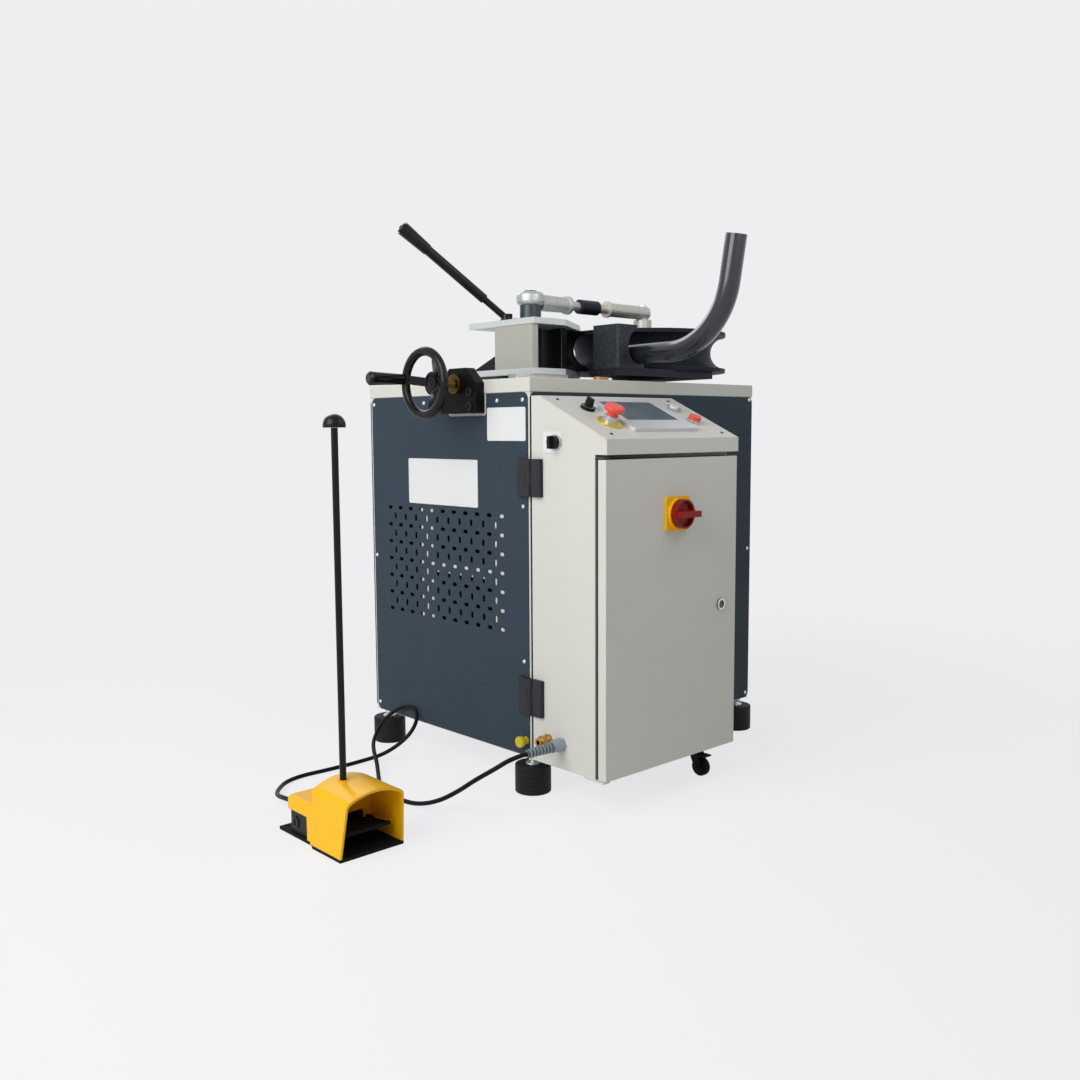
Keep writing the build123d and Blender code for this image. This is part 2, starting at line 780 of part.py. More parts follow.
# Grip: a turned handle that spins on the wheel's pin
with BuildPart() as handwheel_grip:
    with BuildSketch(Plane(origin=(WHEEL_X - GRIP_ROOT, GRIP_Y, GRIP_Z), x_dir=(-1, 0, 0), z_dir=(0, -1, 0))):
        with BuildLine():
            Polyline((GRIP_L, 0), (0, 0), (0, GRIP_ROOT_R))
            Spline((0, GRIP_ROOT_R), (GRIP_L * 0.55, GRIP_BELLY_R), (GRIP_L - GRIP_EDGE, GRIP_TIP_R))
            Polyline((GRIP_L - GRIP_EDGE, GRIP_TIP_R), (GRIP_L, GRIP_TIP_R - GRIP_EDGE), (GRIP_L, 0))
        make_face()
    revolve(axis=Axis((WHEEL_X, GRIP_Y, GRIP_Z), (1, 0, 0)))
    drill(towards_left(WHEEL_X - GRIP_ROOT, GRIP_Y, GRIP_Z), GRIP_PIN_R + RUN, GRIP_L)
keep(handwheel_grip, "handwheel_grip")

# Guide rails under the carriage
with BuildPart() as guide_rails:
    with Locations(*[(GUIDE_X, HEAD_Y + side * GUIDE_OFF, TABLE_TOP) for side in (-1, 1)]):
        Box(GUIDE_L, GUIDE_W, GUIDE_H, align=(Align.MIN, Align.CENTER, Align.MIN))
keep(guide_rails, "guide_rails")

# Carriage plates: square at the back, drawn in to a round nose about the roller pin
NOSE_REACH = math.hypot(ROLLER_X - CAR_X - CAR_SQUARE, CAR_HALF)
NOSE_TURN = math.degrees(math.atan2(CAR_HALF, ROLLER_X - CAR_X - CAR_SQUARE))
NOSE_ANGLE = 180 - NOSE_TURN - math.degrees(math.acos(NOSE_R / NOSE_REACH))
NOSE_DX = NOSE_R * math.cos(math.radians(NOSE_ANGLE))
NOSE_DY = NOSE_R * math.sin(math.radians(NOSE_ANGLE))
CAR_OUTLINE = [
    (ROLLER_X + NOSE_DX, HEAD_Y + NOSE_DY),
    (CAR_X + CAR_SQUARE, HEAD_Y + CAR_HALF),
    (CAR_X, HEAD_Y + CAR_HALF),
    (CAR_X, HEAD_Y - CAR_HALF),
    (CAR_X + CAR_SQUARE, HEAD_Y - CAR_HALF),
    (ROLLER_X + NOSE_DX, HEAD_Y - NOSE_DY),
]

with BuildPart() as carriage_bottom_plate:
    with BuildSketch(Plane.XY.offset(PLATE_LOW)):
        with BuildLine():
            Polyline(*CAR_OUTLINE)
            ThreePointArc(CAR_OUTLINE[-1], (ROLLER_X + NOSE_R, HEAD_Y), CAR_OUTLINE[0])
        make_face()
        with Locations((ROLLER_X, HEAD_Y)):
            Circle(ROLLER_PIN_R, mode=Mode.SUBTRACT)
    extrude(amount=CAR_T)
keep(carriage_bottom_plate, "carriage_bottom_plate")

with BuildPart() as carriage_top_plate:
    with BuildSketch(Plane.XY.offset(TOP_PLATE_LOW)):
        with BuildLine():
            Polyline(*CAR_OUTLINE)
            ThreePointArc(CAR_OUTLINE[-1], (ROLLER_X + NOSE_R, HEAD_Y), CAR_OUTLINE[0])
        make_face()
        with Locations((ROLLER_X, HEAD_Y)):
            Circle(ROLLER_PIN_R, mode=Mode.SUBTRACT)
        with Locations((POST_X, HEAD_Y)):
            Circle(POST_R, mode=Mode.SUBTRACT)
    extrude(amount=CAR_T)
keep(carriage_top_plate, "carriage_top_plate")

# Side plate between the plates, the gusset behind it and a web between post and roller
SIDE_X = CAR_X + SIDE_SET
SIDE_LOW = PLATE_LOW + CAR_T

with BuildPart() as carriage_side_plate:
    block((SIDE_X, SIDE_FRONT, SIDE_LOW), (SIDE_X + SIDE_T, SIDE_BACK, TOP_PLATE_LOW))
    with BuildSketch(towards_right(SIDE_X, SIDE_BACK + WELD_GAP, SIDE_LOW)):
        with BuildLine():
            Polyline((0, 0), (GUSSET_L, 0), (0, GUSSET_H), close=True)
        make_face()
    extrude(amount=GUSSET_T)
    block(
        (CAR_X + WEB_IN, HEAD_Y - WEB_HALF, SIDE_LOW),
        (CAR_X + WEB_IN + WEB_T, HEAD_Y + WEB_HALF, TOP_PLATE_LOW),
    )
keep(carriage_side_plate, "carriage_side_plate")

# Nut on the screw, under the bottom plate
with BuildPart() as screw_nut:
    block(
        (NUT_X, HEAD_Y - NUT_W / 2, NUT_LOW),
        (NUT_X + NUT_L, HEAD_Y + NUT_W / 2, PLATE_LOW),
    )
    drill(towards_right(NUT_X, HEAD_Y, SCREW_Z), SCREW_R + RUN, NUT_L)
keep(screw_nut, "screw_nut")

# Roller pin with a head on the top plate
with BuildPart() as roller_pin:
    stack(
        Plane((ROLLER_X, HEAD_Y, PLATE_LOW)),
        (ROLLER_PIN_R, TOP_PLATE_TOP - PLATE_LOW),
        (PIN_HEAD_R, PIN_HEAD_T),
    )
keep(roller_pin, "roller_pin")

# Counter roller with a half-round groove
GROOVE_MID_R = ROLLER_THROAT + GROOVE_R

with BuildPart() as counter_roller:
    stack(Plane((ROLLER_X, HEAD_Y, ROLLER_LOW)), (ROLLER_R, ROLLER_H))
    with Locations((ROLLER_X, HEAD_Y, PIPE_LEVEL)):
        Torus(GROOVE_MID_R, GROOVE_R, mode=Mode.SUBTRACT)
    drill(Plane((ROLLER_X, HEAD_Y, ROLLER_LOW)), ROLLER_PIN_R + RUN, ROLLER_H)
keep(counter_roller, "counter_roller")

# Anchor post through the top plate, with the pin and cap that hold the rod's eye
EYE_LOW = ROD_Z + EYE_UP - EYE_H / 2

with BuildPart() as anchor_post:
    stack(
        Plane((POST_X, HEAD_Y, SIDE_LOW)),
        (POST_R, EYE_LOW - SIDE_LOW),
        (POST_PIN_R, EYE_H),
        (POST_CAP_R, POST_CAP_H),
    )
keep(anchor_post, "anchor_post")

# Carriage half of the tie rod: eye, drawn-in socket, collar and shank
SOCKET_X = POST_X + POST_R + SOCKET_CLEAR

with BuildPart() as tie_rod_end:
    stack(Plane((POST_X, HEAD_Y, EYE_LOW)), (EYE_R, EYE_H))
    fillet(tie_rod_end.edges().filter_by(GeomType.CIRCLE), radius=EYE_H * 0.35)
    with Locations(towards_right(SOCKET_X, HEAD_Y, ROD_Z)):
        Cone(SOCKET_R, SOCKET_END_R, SOCKET_END_X - SOCKET_X, align=FOOT)
    stack(
        towards_right(SOCKET_END_X, HEAD_Y, ROD_Z),
        (COLLAR_R, COLLAR_L),
        (SHANK_R, SHANK_END_X - SOCKET_END_X - COLLAR_L),
    )
    drill(Plane((POST_X, HEAD_Y, EYE_LOW)), POST_PIN_R, EYE_H)
keep(tie_rod_end, "tie_rod_end")

# Turnbuckle sleeve
with BuildPart() as tie_rod_sleeve:
    stack(towards_right(SLEEVE_X, HEAD_Y, ROD_Z), (SLEEVE_R, SLEEVE_L))
    chamfer(tie_rod_sleeve.edges().filter_by(GeomType.CIRCLE), length=2)
    drill(towards_right(SLEEVE_X, HEAD_Y, ROD_Z), SHANK_R + RUN, SLEEVE_L)
keep(tie_rod_sleeve, "tie_rod_sleeve")

# Fixed half of the tie rod, bored for the spindle's pin
FIXED_LOW = ROD_Z - FIXED_R

with BuildPart() as tie_rod_fixed:
    stack(
        towards_right(FIXED_SHANK_X, HEAD_Y, ROD_Z),
        (SHANK_R, FIXED_FLANGE_X - FIXED_SHANK_X),
        (FIXED_FLANGE_R, FIXED_FLANGE_L),
        (FIXED_R, DIE_X + FIXED_OVER - FIXED_FLANGE_X - FIXED_FLANGE_L),
    )
    fillet(tie_rod_fixed.edges().filter_by(GeomType.CIRCLE).sort_by(Axis.X)[-1], radius=FIXED_EDGE)
    drill(Plane((DIE_X, HEAD_Y, FIXED_LOW)), ROD_PIN_R + RUN, 2 * FIXED_R)
keep(tie_rod_fixed, "tie_rod_fixed")

# Clamp lever: boss on a stud, slanting rod, sleeve and fluted grip
LEVER_UP = math.radians(LEVER_RISE)
LEVER_ROUND = math.radians(LEVER_TURN)
LEVER_WAY = (
    math.cos(LEVER_UP) * math.cos(LEVER_ROUND),
    math.cos(LEVER_UP) * math.sin(LEVER_ROUND),
    math.sin(LEVER_UP),
)
LEVER_PLANE = Plane(
    origin=(LEVER_X, LEVER_Y, TOP_PLATE_TOP + LEVER_BOSS_H / 2),
    x_dir=(-math.sin(LEVER_ROUND), math.cos(LEVER_ROUND), 0),
    z_dir=LEVER_WAY,
)
FLUTE_AT = LEVER_GRIP_END_R + LEVER_FLUTE_R / 2

with BuildPart() as clamp_lever:
    stack(LEVER_PLANE, (LEVER_ROD_R, LEVER_SLEEVE_AT))
    stack(Plane((LEVER_X, LEVER_Y, TOP_PLATE_TOP)), (LEVER_BOSS_R, LEVER_BOSS_H))
    stack(
        LEVER_PLANE.offset(LEVER_SLEEVE_AT),
        (LEVER_SLEEVE_R, LEVER_GRIP_AT - LEVER_SLEEVE_AT - WELD_GAP),
    )
    with Locations(LEVER_PLANE.offset(LEVER_GRIP_AT)):
        Cone(LEVER_GRIP_R, LEVER_GRIP_END_R, LEVER_L - LEVER_GRIP_AT, align=FOOT)
        with PolarLocations(FLUTE_AT, LEVER_FLUTES):
            Cylinder(LEVER_FLUTE_R, LEVER_L - LEVER_GRIP_AT, align=FOOT, mode=Mode.SUBTRACT)
keep(clamp_lever, "clamp_lever")

# Gear motor: gearbox under the table and a finned motor beside it
GEARBOX_LEFT = DIE_X - GEARBOX_W / 2
GEARBOX_RIGHT = POST_PITCH_X - TUBE / 2 - GEARBOX_ROOM
MOTOR_PLANE = towards_left(GEARBOX_LEFT - WELD_GAP, HEAD_Y, MOTOR_Z)

with BuildPart() as gear_motor:
    block(
        (GEARBOX_LEFT, HEAD_Y - GEARBOX_D / 2, GEARBOX_LOW),
        (GEARBOX_RIGHT, HEAD_Y + GEARBOX_D / 2, FRAME_TOP),
    )
    drill(Plane((DIE_X, HEAD_Y, SPINDLE_LOW)), SPINDLE_R + RUN, FRAME_TOP - SPINDLE_LOW)
    stack(MOTOR_PLANE, (MOTOR_R, MOTOR_L))
    with Locations(MOTOR_PLANE):
        with PolarLocations(MOTOR_R, MOTOR_FINS):
            Box(2 * MOTOR_FIN, MOTOR_FIN, MOTOR_L * 0.7, align=FOOT)
keep(gear_motor, "gear_motor")

# Spindle bearing: flange on the table and a spigot through it
with BuildPart() as spindle_bearing:
    stack(
        Plane((DIE_X, HEAD_Y, FRAME_TOP)),
        (BEARING_SPIGOT_R, TABLE_T),
        (BEARING_R, GUIDE_H - ROLLER_GAP),
    )
    drill(Plane((DIE_X, HEAD_Y, FRAME_TOP)), SPINDLE_R + RUN, TABLE_T + GUIDE_H)
keep(spindle_bearing, "spindle_bearing")

# Drive spindle, with a collar, a neck and the rod's pin on top
with BuildPart() as drive_spindle:
    stack(
        Plane((DIE_X, HEAD_Y, SPINDLE_LOW)),
        (SPINDLE_R, SPINDLE_TOP - SPINDLE_LOW),
        (SPINDLE_COLLAR_R, SPINDLE_COLLAR_H),
        (SPINDLE_NECK_R, FIXED_LOW - SPINDLE_TOP - SPINDLE_COLLAR_H),
        (ROD_PIN_R, 2 * FIXED_R + ROD_PIN_OVER),
    )
keep(drive_spindle, "drive_spindle")

# Drive plate: a hub on the spindle and a wide arm to the hook block
with BuildPart() as drive_plate:
    with BuildSketch(Plane.XY.offset(PLATE_LOW)):
        with BuildLine():
            Polyline(
                (DIE_X - PLATE_HUB_R, HEAD_Y),
                (ARM_LEFT + HOOK_W, ARM_BACK),
                (ARM_LEFT, ARM_BACK),
                (ARM_LEFT, ARM_FRONT),
                (ARM_RIGHT, ARM_FRONT),
                (DIE_X + PLATE_HUB_R, HEAD_Y),
            )
            ThreePointArc(
                (DIE_X + PLATE_HUB_R, HEAD_Y),
                (DIE_X, HEAD_Y + PLATE_HUB_R),
                (DIE_X - PLATE_HUB_R, HEAD_Y),
            )
        make_face()
        with Locations((DIE_X, HEAD_Y)):
            Circle(SPINDLE_R, mode=Mode.SUBTRACT)
    extrude(amount=DRIVE_PLATE_T)
keep(drive_plate, "drive_plate")

# Bending die: a grooved wheel with a turned recess and a ring of holes
with BuildPart() as bending_die:
    stack(Plane((DIE_X, HEAD_Y, DIE_LOW)), (DIE_R, DIE_H))
    with Locations((DIE_X, HEAD_Y, PIPE_LEVEL)):
        Torus(BEND_R, GROOVE_R, mode=Mode.SUBTRACT)
    with BuildSketch(Plane.XY.offset(DIE_TOP - DIE_RECESS)):
        with Locations((DIE_X, HEAD_Y)):
            Circle(DIE_RECESS_R)
            Circle(DIE_HUB_R, mode=Mode.SUBTRACT)
    extrude(amount=DIE_RECESS, mode=Mode.SUBTRACT)
    with Locations((DIE_X, HEAD_Y, DIE_LOW)):
        Cylinder(SPINDLE_R, DIE_H, align=FOOT, mode=Mode.SUBTRACT)
        with PolarLocations(DIE_HOLE_PITCH_R, 6):
            Cylinder(DIE_HOLE_R, DIE_H, align=FOOT, mode=Mode.SUBTRACT)
keep(bending_die, "bending_die")

# Hook block: its groove is open towards the die, its foot runs under the pipe
with BuildPart() as hook_block:
    block(
        (ARM_LEFT, ARM_FRONT, DIE_LOW),
        (ARM_LEFT + HOOK_W, ARM_FRONT + HOOK_L, DIE_LOW + HOOK_H),
    )
    chamfer(hook_block.edges().filter_by(Axis.Z).group_by(Axis.X)[0], length=HOOK_EDGE)
    block(
        (ARM_LEFT + HOOK_W / 2, ARM_FRONT, DIE_LOW),
        (GROOVE_X + HOOK_FOOT_REACH, ARM_FRONT + HOOK_L, DIE_LOW + HOOK_FOOT_H),
    )
    drill(towards_front(GROOVE_X, ARM_FRONT + HOOK_L, PIPE_LEVEL), GROOVE_R, HOOK_L)
keep(hook_block, "hook_block")

# Bent pipe: straight out of the hook block, then up
TURN = math.radians(PIPE_BEND_ANGLE)
BEND_END = (PIPE_BEND_Y - PIPE_BEND_R * math.sin(TURN), PIPE_Z + PIPE_BEND_R * (1 - math.cos(TURN)))
BEND_MID = (
    PIPE_BEND_Y - PIPE_BEND_R * math.sin(TURN / 2),
    PIPE_Z + PIPE_BEND_R * (1 - math.cos(TURN / 2)),
)
TAIL_END = (BEND_END[0] - PIPE_TAIL * math.cos(TURN), BEND_END[1] + PIPE_TAIL * math.sin(TURN))

with BuildPart() as bent_pipe:
    with BuildLine():
        Line((GROOVE_X, PIPE_START_Y, PIPE_Z), (GROOVE_X, PIPE_BEND_Y, PIPE_Z))
        ThreePointArc(
            (GROOVE_X, PIPE_BEND_Y, PIPE_Z),
            (GROOVE_X, *BEND_MID),
            (GROOVE_X, *BEND_END),
        )
        Line((GROOVE_X, *BEND_END), (GROOVE_X, *TAIL_END))
    with BuildSketch(towards_front(GROOVE_X, PIPE_START_Y, PIPE_Z)):
        Circle(PIPE_R)
        Circle(PIPE_R - PIPE_WALL, mode=Mode.SUBTRACT)
    sweep()
keep(bent_pipe, "bent_pipe")

# Cabinet shell: open front, open slope, a shelf under the head, and lugs with pins for the door
CAB_RIGHT = LEFT + CAB_W
SHEET_DROP = CAB_T / math.cos(math.radians(SLOPE))
HEAD_FRONT = LIP_FRONT + CAB_T
LID_IN_LOW = LIP_TOP + CAB_T * math.tan(math.radians(SLOPE)) - SHEET_DROP
LID_IN_BACK = SLOPE_BACK + (SHEET_DROP - CAB_T) / math.tan(math.radians(SLOPE))
BEYOND = 60


def side_sketch(x):
    """Plane for outlines drawn in Y and Z, looking to +X."""
    return Plane(origin=(x, 0, 0), x_dir=(0, 1, 0), z_dir=(1, 0, 0))


with BuildPart() as cabinet_shell:
    with BuildSketch(side_sketch(LEFT)):
        with BuildLine():
            Polyline(
                (CAB_BACK, CAB_LOW),
                (CAB_BACK, CAB_TOP - CAB_T),
                (LID_IN_BACK, CAB_TOP - CAB_T),
                (HEAD_FRONT, LID_IN_LOW),
                (HEAD_FRONT, LIP_LOW),
                (SHELL_FRONT, LIP_LOW),
                (SHELL_FRONT, CAB_LOW),
                close=True,
            )
        make_face()
    extrude(amount=CAB_W)
    block(
        (LEFT + CAB_T, LIP_FRONT - BEYOND, CAB_LOW + CAB_T),
        (CAB_RIGHT - CAB_T, CAB_BACK - CAB_T, LIP_LOW),
        mode=Mode.SUBTRACT,
    )
    block(
        (LEFT + CAB_T, LIP_FRONT - BEYOND, LIP_LOW + CAB_T),
        (CAB_RIGHT - CAB_T, CAB_BACK - CAB_T, CAB_TOP + BEYOND),
        mode=Mode.SUBTRACT,
    )
    with Locations((LEFT + CAB_W / 2, CAB_BACK - BEYOND, LIP_LOW)):
        Box(CABLE_HOLE_W, CABLE_HOLE_D, 2 * CAB_T, mode=Mode.SUBTRACT)
    block(
        (LEFT, DOOR_HINGE_Y - LUG_OVER, CAB_LOW - LUG_T),
        (LEFT + LUG_W, SHELL_FRONT + LUG_BACK, CAB_LOW),
    )
    block(
        (LEFT, DOOR_HINGE_Y - LUG_OVER, DOOR_TOP + CAB_T),
        (LEFT + LUG_W, SHELL_FRONT + LUG_BACK, DOOR_TOP + CAB_T + LUG_T),
    )
    stack(Plane((DOOR_HINGE_X, DOOR_HINGE_Y, CAB_LOW)), (DOOR_PIN_R, DOOR_PIN_L))
    stack(Plane((DOOR_HINGE_X, DOOR_HINGE_Y, DOOR_TOP + CAB_T - DOOR_PIN_L)), (DOOR_PIN_R, DOOR_PIN_L))
    stack(Plane((CASTOR_X, CASTOR_Y, CAB_LOW)), (CASTOR_BOSS_R, CASTOR_STEM_L))
    drill(Plane((CASTOR_X, CASTOR_Y, CAB_LOW)), CASTOR_STEM_R + RUN, CASTOR_STEM_L)
    drill(towards_right(LEFT, BRASS_Y, BRASS_Z), BRASS_HOLE_R, CAB_T)
keep(cabinet_shell, "cabinet_shell")

# Control panel: a folded sheet over the slope, with a lip in front
with BuildPart() as control_panel:
    with BuildSketch(side_sketch(LEFT)):
        with BuildLine():
            Polyline(
                (CAB_BACK, CAB_TOP),
                (SLOPE_BACK, CAB_TOP),
                (LIP_FRONT, LIP_TOP),
                (LIP_FRONT, LIP_LOW),
                (HEAD_FRONT, LIP_LOW),
                (HEAD_FRONT, LID_IN_LOW),
                (LID_IN_BACK, CAB_TOP - CAB_T),
                (CAB_BACK, CAB_TOP - CAB_T),
                close=True,
            )
        make_face()
    extrude(amount=CAB_W)
    with BuildSketch(on_slope(SCREEN_ACROSS, SCREEN_DOWN).offset(-2 * CAB_T)):
        Rectangle(SCREEN_BODY_W + SNUG, SCREEN_BODY_H + SNUG)
    extrude(amount=3 * CAB_T, mode=Mode.SUBTRACT)
keep(control_panel, "control_panel")

# Touch screen: bezel on the slope, body through it, glass set a little in
SCREEN_PLANE = on_slope(SCREEN_ACROSS, SCREEN_DOWN)

with BuildPart() as touch_screen:
    with BuildSketch(SCREEN_PLANE):
        RectangleRounded(SCREEN_W, SCREEN_H, SCREEN_CORNER)
    extrude(amount=SCREEN_T)
    with BuildSketch(SCREEN_PLANE):
        Rectangle(SCREEN_BODY_W, SCREEN_BODY_H)
    extrude(amount=-SCREEN_BODY_D)
    with BuildSketch(SCREEN_PLANE.offset(SCREEN_T - GLASS_SINK)):
        with Locations((0, -GLASS_DOWN)):
            Rectangle(GLASS_W, GLASS_H)
    extrude(amount=GLASS_SINK, mode=Mode.SUBTRACT)
keep(touch_screen, "touch_screen")

# Collars round the buttons and selectors, each a separate ring
with BuildPart() as control_bezels:
    for across, down, cap in ((START_ACROSS, START_DOWN, CAP_R), (STOP_ACROSS, STOP_DOWN, STOP_CAP_R)):
        stack(on_slope(across, down), (BEZEL_R, BEZEL_T))
        drill(on_slope(across, down), cap + RUN, BEZEL_T)
    stack(on_slope(ESTOP_ACROSS, ESTOP_DOWN), (YELLOW_R, YELLOW_T), (STEM_COLLAR_R, STEM_COLLAR_H - YELLOW_T))
    drill(on_slope(ESTOP_ACROSS, ESTOP_DOWN), STEM_R + RUN, STEM_COLLAR_H)
    for plane in (on_slope(SELECTOR_ACROSS, SELECTOR_DOWN), towards_left(LEFT, SIDE_SEL_Y, SIDE_SEL_Z)):
        stack(plane, (BEZEL_R, BEZEL_T))
        drill(plane, KNOB_SHAFT_R + RUN, BEZEL_T)
keep(control_bezels, "control_bezels")


def push_cap(plane, radius, height):
    """Flat button cap that slides in its collar."""
    stack(plane.offset(CAP_LIFT), (radius, height))


with BuildPart() as start_button:
    push_cap(on_slope(START_ACROSS, START_DOWN), CAP_R, CAP_H)
keep(start_button, "start_button")

with BuildPart() as stop_button:
    push_cap(on_slope(STOP_ACROSS, STOP_DOWN), STOP_CAP_R, STOP_CAP_H)
keep(stop_button, "stop_button")

with BuildPart() as estop_button:
    stack(on_slope(ESTOP_ACROSS, ESTOP_DOWN).offset(STEM_LIFT + STEM_H), (MUSHROOM_R, MUSHROOM_H))
    fillet(estop_button.edges().filter_by(GeomType.CIRCLE), radius=MUSHROOM_EDGE)
    stack(on_slope(ESTOP_ACROSS, ESTOP_DOWN).offset(STEM_LIFT), (STEM_R, STEM_H))
keep(estop_button, "estop_button")


def turn_knob(plane, radius):
    """Round selector knob with a finger bar and a shaft in its collar."""
    stack(plane, (KNOB_SHAFT_R, BEZEL_T + SNUG), (radius, KNOB_H))
    with Locations(plane.offset(BEZEL_T + SNUG + KNOB_H)):
        Box(KNOB_BAR_W, 2 * radius - 2, KNOB_BAR_H, align=FOOT)


with BuildPart() as panel_selector:
    turn_knob(on_slope(SELECTOR_ACROSS, SELECTOR_DOWN), KNOB_R)
keep(panel_selector, "panel_selector")

with BuildPart() as side_selector:
    turn_knob(towards_left(LEFT, SIDE_SEL_Y, SIDE_SEL_Z), SIDE_KNOB_R)
keep(side_selector, "side_selector")

# Electrical tray on the cabinet's back wall: a drive, a row of relays and a terminal strip
TRAY_X = LEFT + CAB_W / 2
TRAY_BACK = CAB_BACK - CAB_T
TRAY_FRONT = TRAY_BACK - TRAY_T

with BuildPart() as electrical_tray:
    with Locations(towards_front(TRAY_X, TRAY_BACK, TRAY_LOW + TRAY_H / 2)):
        Box(TRAY_W, TRAY_H, TRAY_T, align=FOOT)
    with Locations(towards_front(TRAY_X - TRAY_W / 4, TRAY_FRONT, TRAY_LOW + TRAY_H * 0.72)):
        Box(DRIVE_BOX_W, DRIVE_BOX_H, GEAR_D, align=FOOT)
    with Locations(towards_front(TRAY_X + TRAY_W / 4, TRAY_FRONT, TRAY_LOW + TRAY_H * 0.8)):
        Box(DRIVE_BOX_W, RELAY_H, RELAY_D, align=FOOT)
    with Locations(towards_front(TRAY_X, TRAY_FRONT, TRAY_LOW + TRAY_H * 0.38)):
        with GridLocations(RELAY_W + 8, 1, RELAYS, 1):
            Box(RELAY_W, RELAY_H, RELAY_D, align=FOOT)
    with Locations(towards_front(TRAY_X, TRAY_FRONT, TRAY_LOW + TRAY_H * 0.12)):
        Box(TRAY_W * 0.8, TERMINAL_H, TERMINAL_D, align=FOOT)
keep(electrical_tray, "electrical_tray")

# Cabinet hinges: the frame's knuckles at both ends carry the pin, the cabinet's knuckle turns between
LEAF_X = LEFT - LEAF_T

with BuildPart() as hinge_frame_leaves:
    for low in HINGE_LOWS:
        block((LEAF_X, HINGE_Y + LEAF_OFF, low), (LEFT, HINGE_Y + LEAF_OFF + LEAF_L, low + HINGE_H))
    fillet(hinge_frame_leaves.edges().filter_by(Axis.Z).group_by(Axis.X)[0], radius=LEAF_EDGE)
    for low in HINGE_LOWS:
        for end in (low, low + HINGE_H - KNUCKLE_END):
            block((LEAF_X, HINGE_Y, end), (LEFT, HINGE_Y + LEAF_OFF, end + KNUCKLE_END))
            stack(Plane((HINGE_X, HINGE_Y, end)), (HINGE_R, KNUCKLE_END))
        stack(Plane((HINGE_X, HINGE_Y, low)), (HINGE_PIN_R, HINGE_H))
keep(hinge_frame_leaves, "hinge_frame_leaves")

with BuildPart() as hinge_cabinet_leaves:
    for low in HINGE_LOWS:
        block((LEAF_X, HINGE_Y - LEAF_OFF - LEAF_L, low), (LEFT, HINGE_Y - LEAF_OFF, low + HINGE_H))
    fillet(hinge_cabinet_leaves.edges().filter_by(Axis.Z).group_by(Axis.X)[0], radius=LEAF_EDGE)
    for low in HINGE_LOWS:
        mid_low = low + KNUCKLE_END + KNUCKLE_GAP
        mid_high = low + HINGE_H - KNUCKLE_END - KNUCKLE_GAP
        block((LEAF_X, HINGE_Y - LEAF_OFF, mid_low), (LEFT, HINGE_Y, mid_high))
        stack(Plane((HINGE_X, HINGE_Y, mid_low)), (HINGE_R, mid_high - mid_low))
        drill(Plane((HINGE_X, HINGE_Y, low)), HINGE_PIN_R + RUN, HINGE_H)
keep(hinge_cabinet_leaves, "hinge_cabinet_leaves")

# Grey gland: nut, dome and a ribbed tail that thins towards its tip
RIB_PITCH = TAIL_L / TAIL_RIBS
TAIL_THIN = (TAIL_ROOT_R - TAIL_TIP_R) / TAIL_RIBS
GLAND_PLANE = towards_left(LEFT, GLAND_Y, GLAND_Z)

with BuildPart() as cable_gland:
    with BuildSketch(GLAND_PLANE):
        RegularPolygon(GLAND_NUT_R, 6)
    extrude(amount=GLAND_NUT_L)
    stack(GLAND_PLANE.offset(GLAND_NUT_L), (GLAND_DOME_R, GLAND_DOME_L))
    for rib in range(TAIL_RIBS):
        thick = TAIL_ROOT_R - rib * TAIL_THIN
        stack(
            GLAND_PLANE.offset(GLAND_NUT_L + GLAND_DOME_L + rib * RIB_PITCH),
            (thick, RIB_PITCH / 2),
            (thick - TAIL_GROOVE, RIB_PITCH / 2),
        )
keep(cable_gland, "cable_gland")

# Brass gland, open for a mains cord
BRASS_PLANE = towards_left(LEFT, BRASS_Y, BRASS_Z)

with BuildPart() as brass_gland:
    with BuildSketch(BRASS_PLANE):
        RegularPolygon(BRASS_FLANGE_R, 6)
    extrude(amount=BRASS_FLANGE_L)
    stack(BRASS_PLANE.offset(BRASS_FLANGE_L), (BRASS_TIP_R, BRASS_TIP_L))
    with BuildSketch(BRASS_PLANE.offset(BRASS_FLANGE_L + BRASS_TIP_L)):
        RegularPolygon(BRASS_NUT_R, 6)
    extrude(amount=BRASS_NUT_L)
    stack(BRASS_PLANE.offset(BRASS_FLANGE_L + BRASS_TIP_L + BRASS_NUT_L), (BRASS_TIP_R, BRASS_TIP_L))
    drill(BRASS_PLANE, BRASS_BORE_R, BRASS_FLANGE_L + BRASS_NUT_L + 2 * BRASS_TIP_L)
keep(brass_gland, "brass_gland")

# Door: a pan that turns on the shell's two pins
with BuildPart() as cabinet_door:
    block(
        (LEFT + DOOR_SIDE, DOOR_FRONT, DOOR_LOW),
        (CAB_RIGHT - DOOR_SIDE, DOOR_BACK, DOOR_TOP),
    )
    block(
        (LEFT + DOOR_SIDE + CAB_T, DOOR_FRONT + CAB_T, DOOR_LOW + CAB_T),
        (CAB_RIGHT - DOOR_SIDE - CAB_T, DOOR_BACK, DOOR_TOP - CAB_T),
        mode=Mode.SUBTRACT,
    )
    drill(Plane((DOOR_HINGE_X, DOOR_HINGE_Y, DOOR_LOW)), DOOR_PIN_R + RUN, DOOR_TOP - DOOR_LOW)
    drill(towards_front(LOCK_X, DOOR_BACK, LOCK_Z), LOCK_SHAFT_R + RUN, DOOR_BACK - DOOR_FRONT)
keep(cabinet_door, "cabinet_door")

# Main switch: plate with a collar on the door, and a knob that turns in it
MAIN_PLANE = towards_front(MAIN_X, DOOR_FRONT, MAIN_Z)

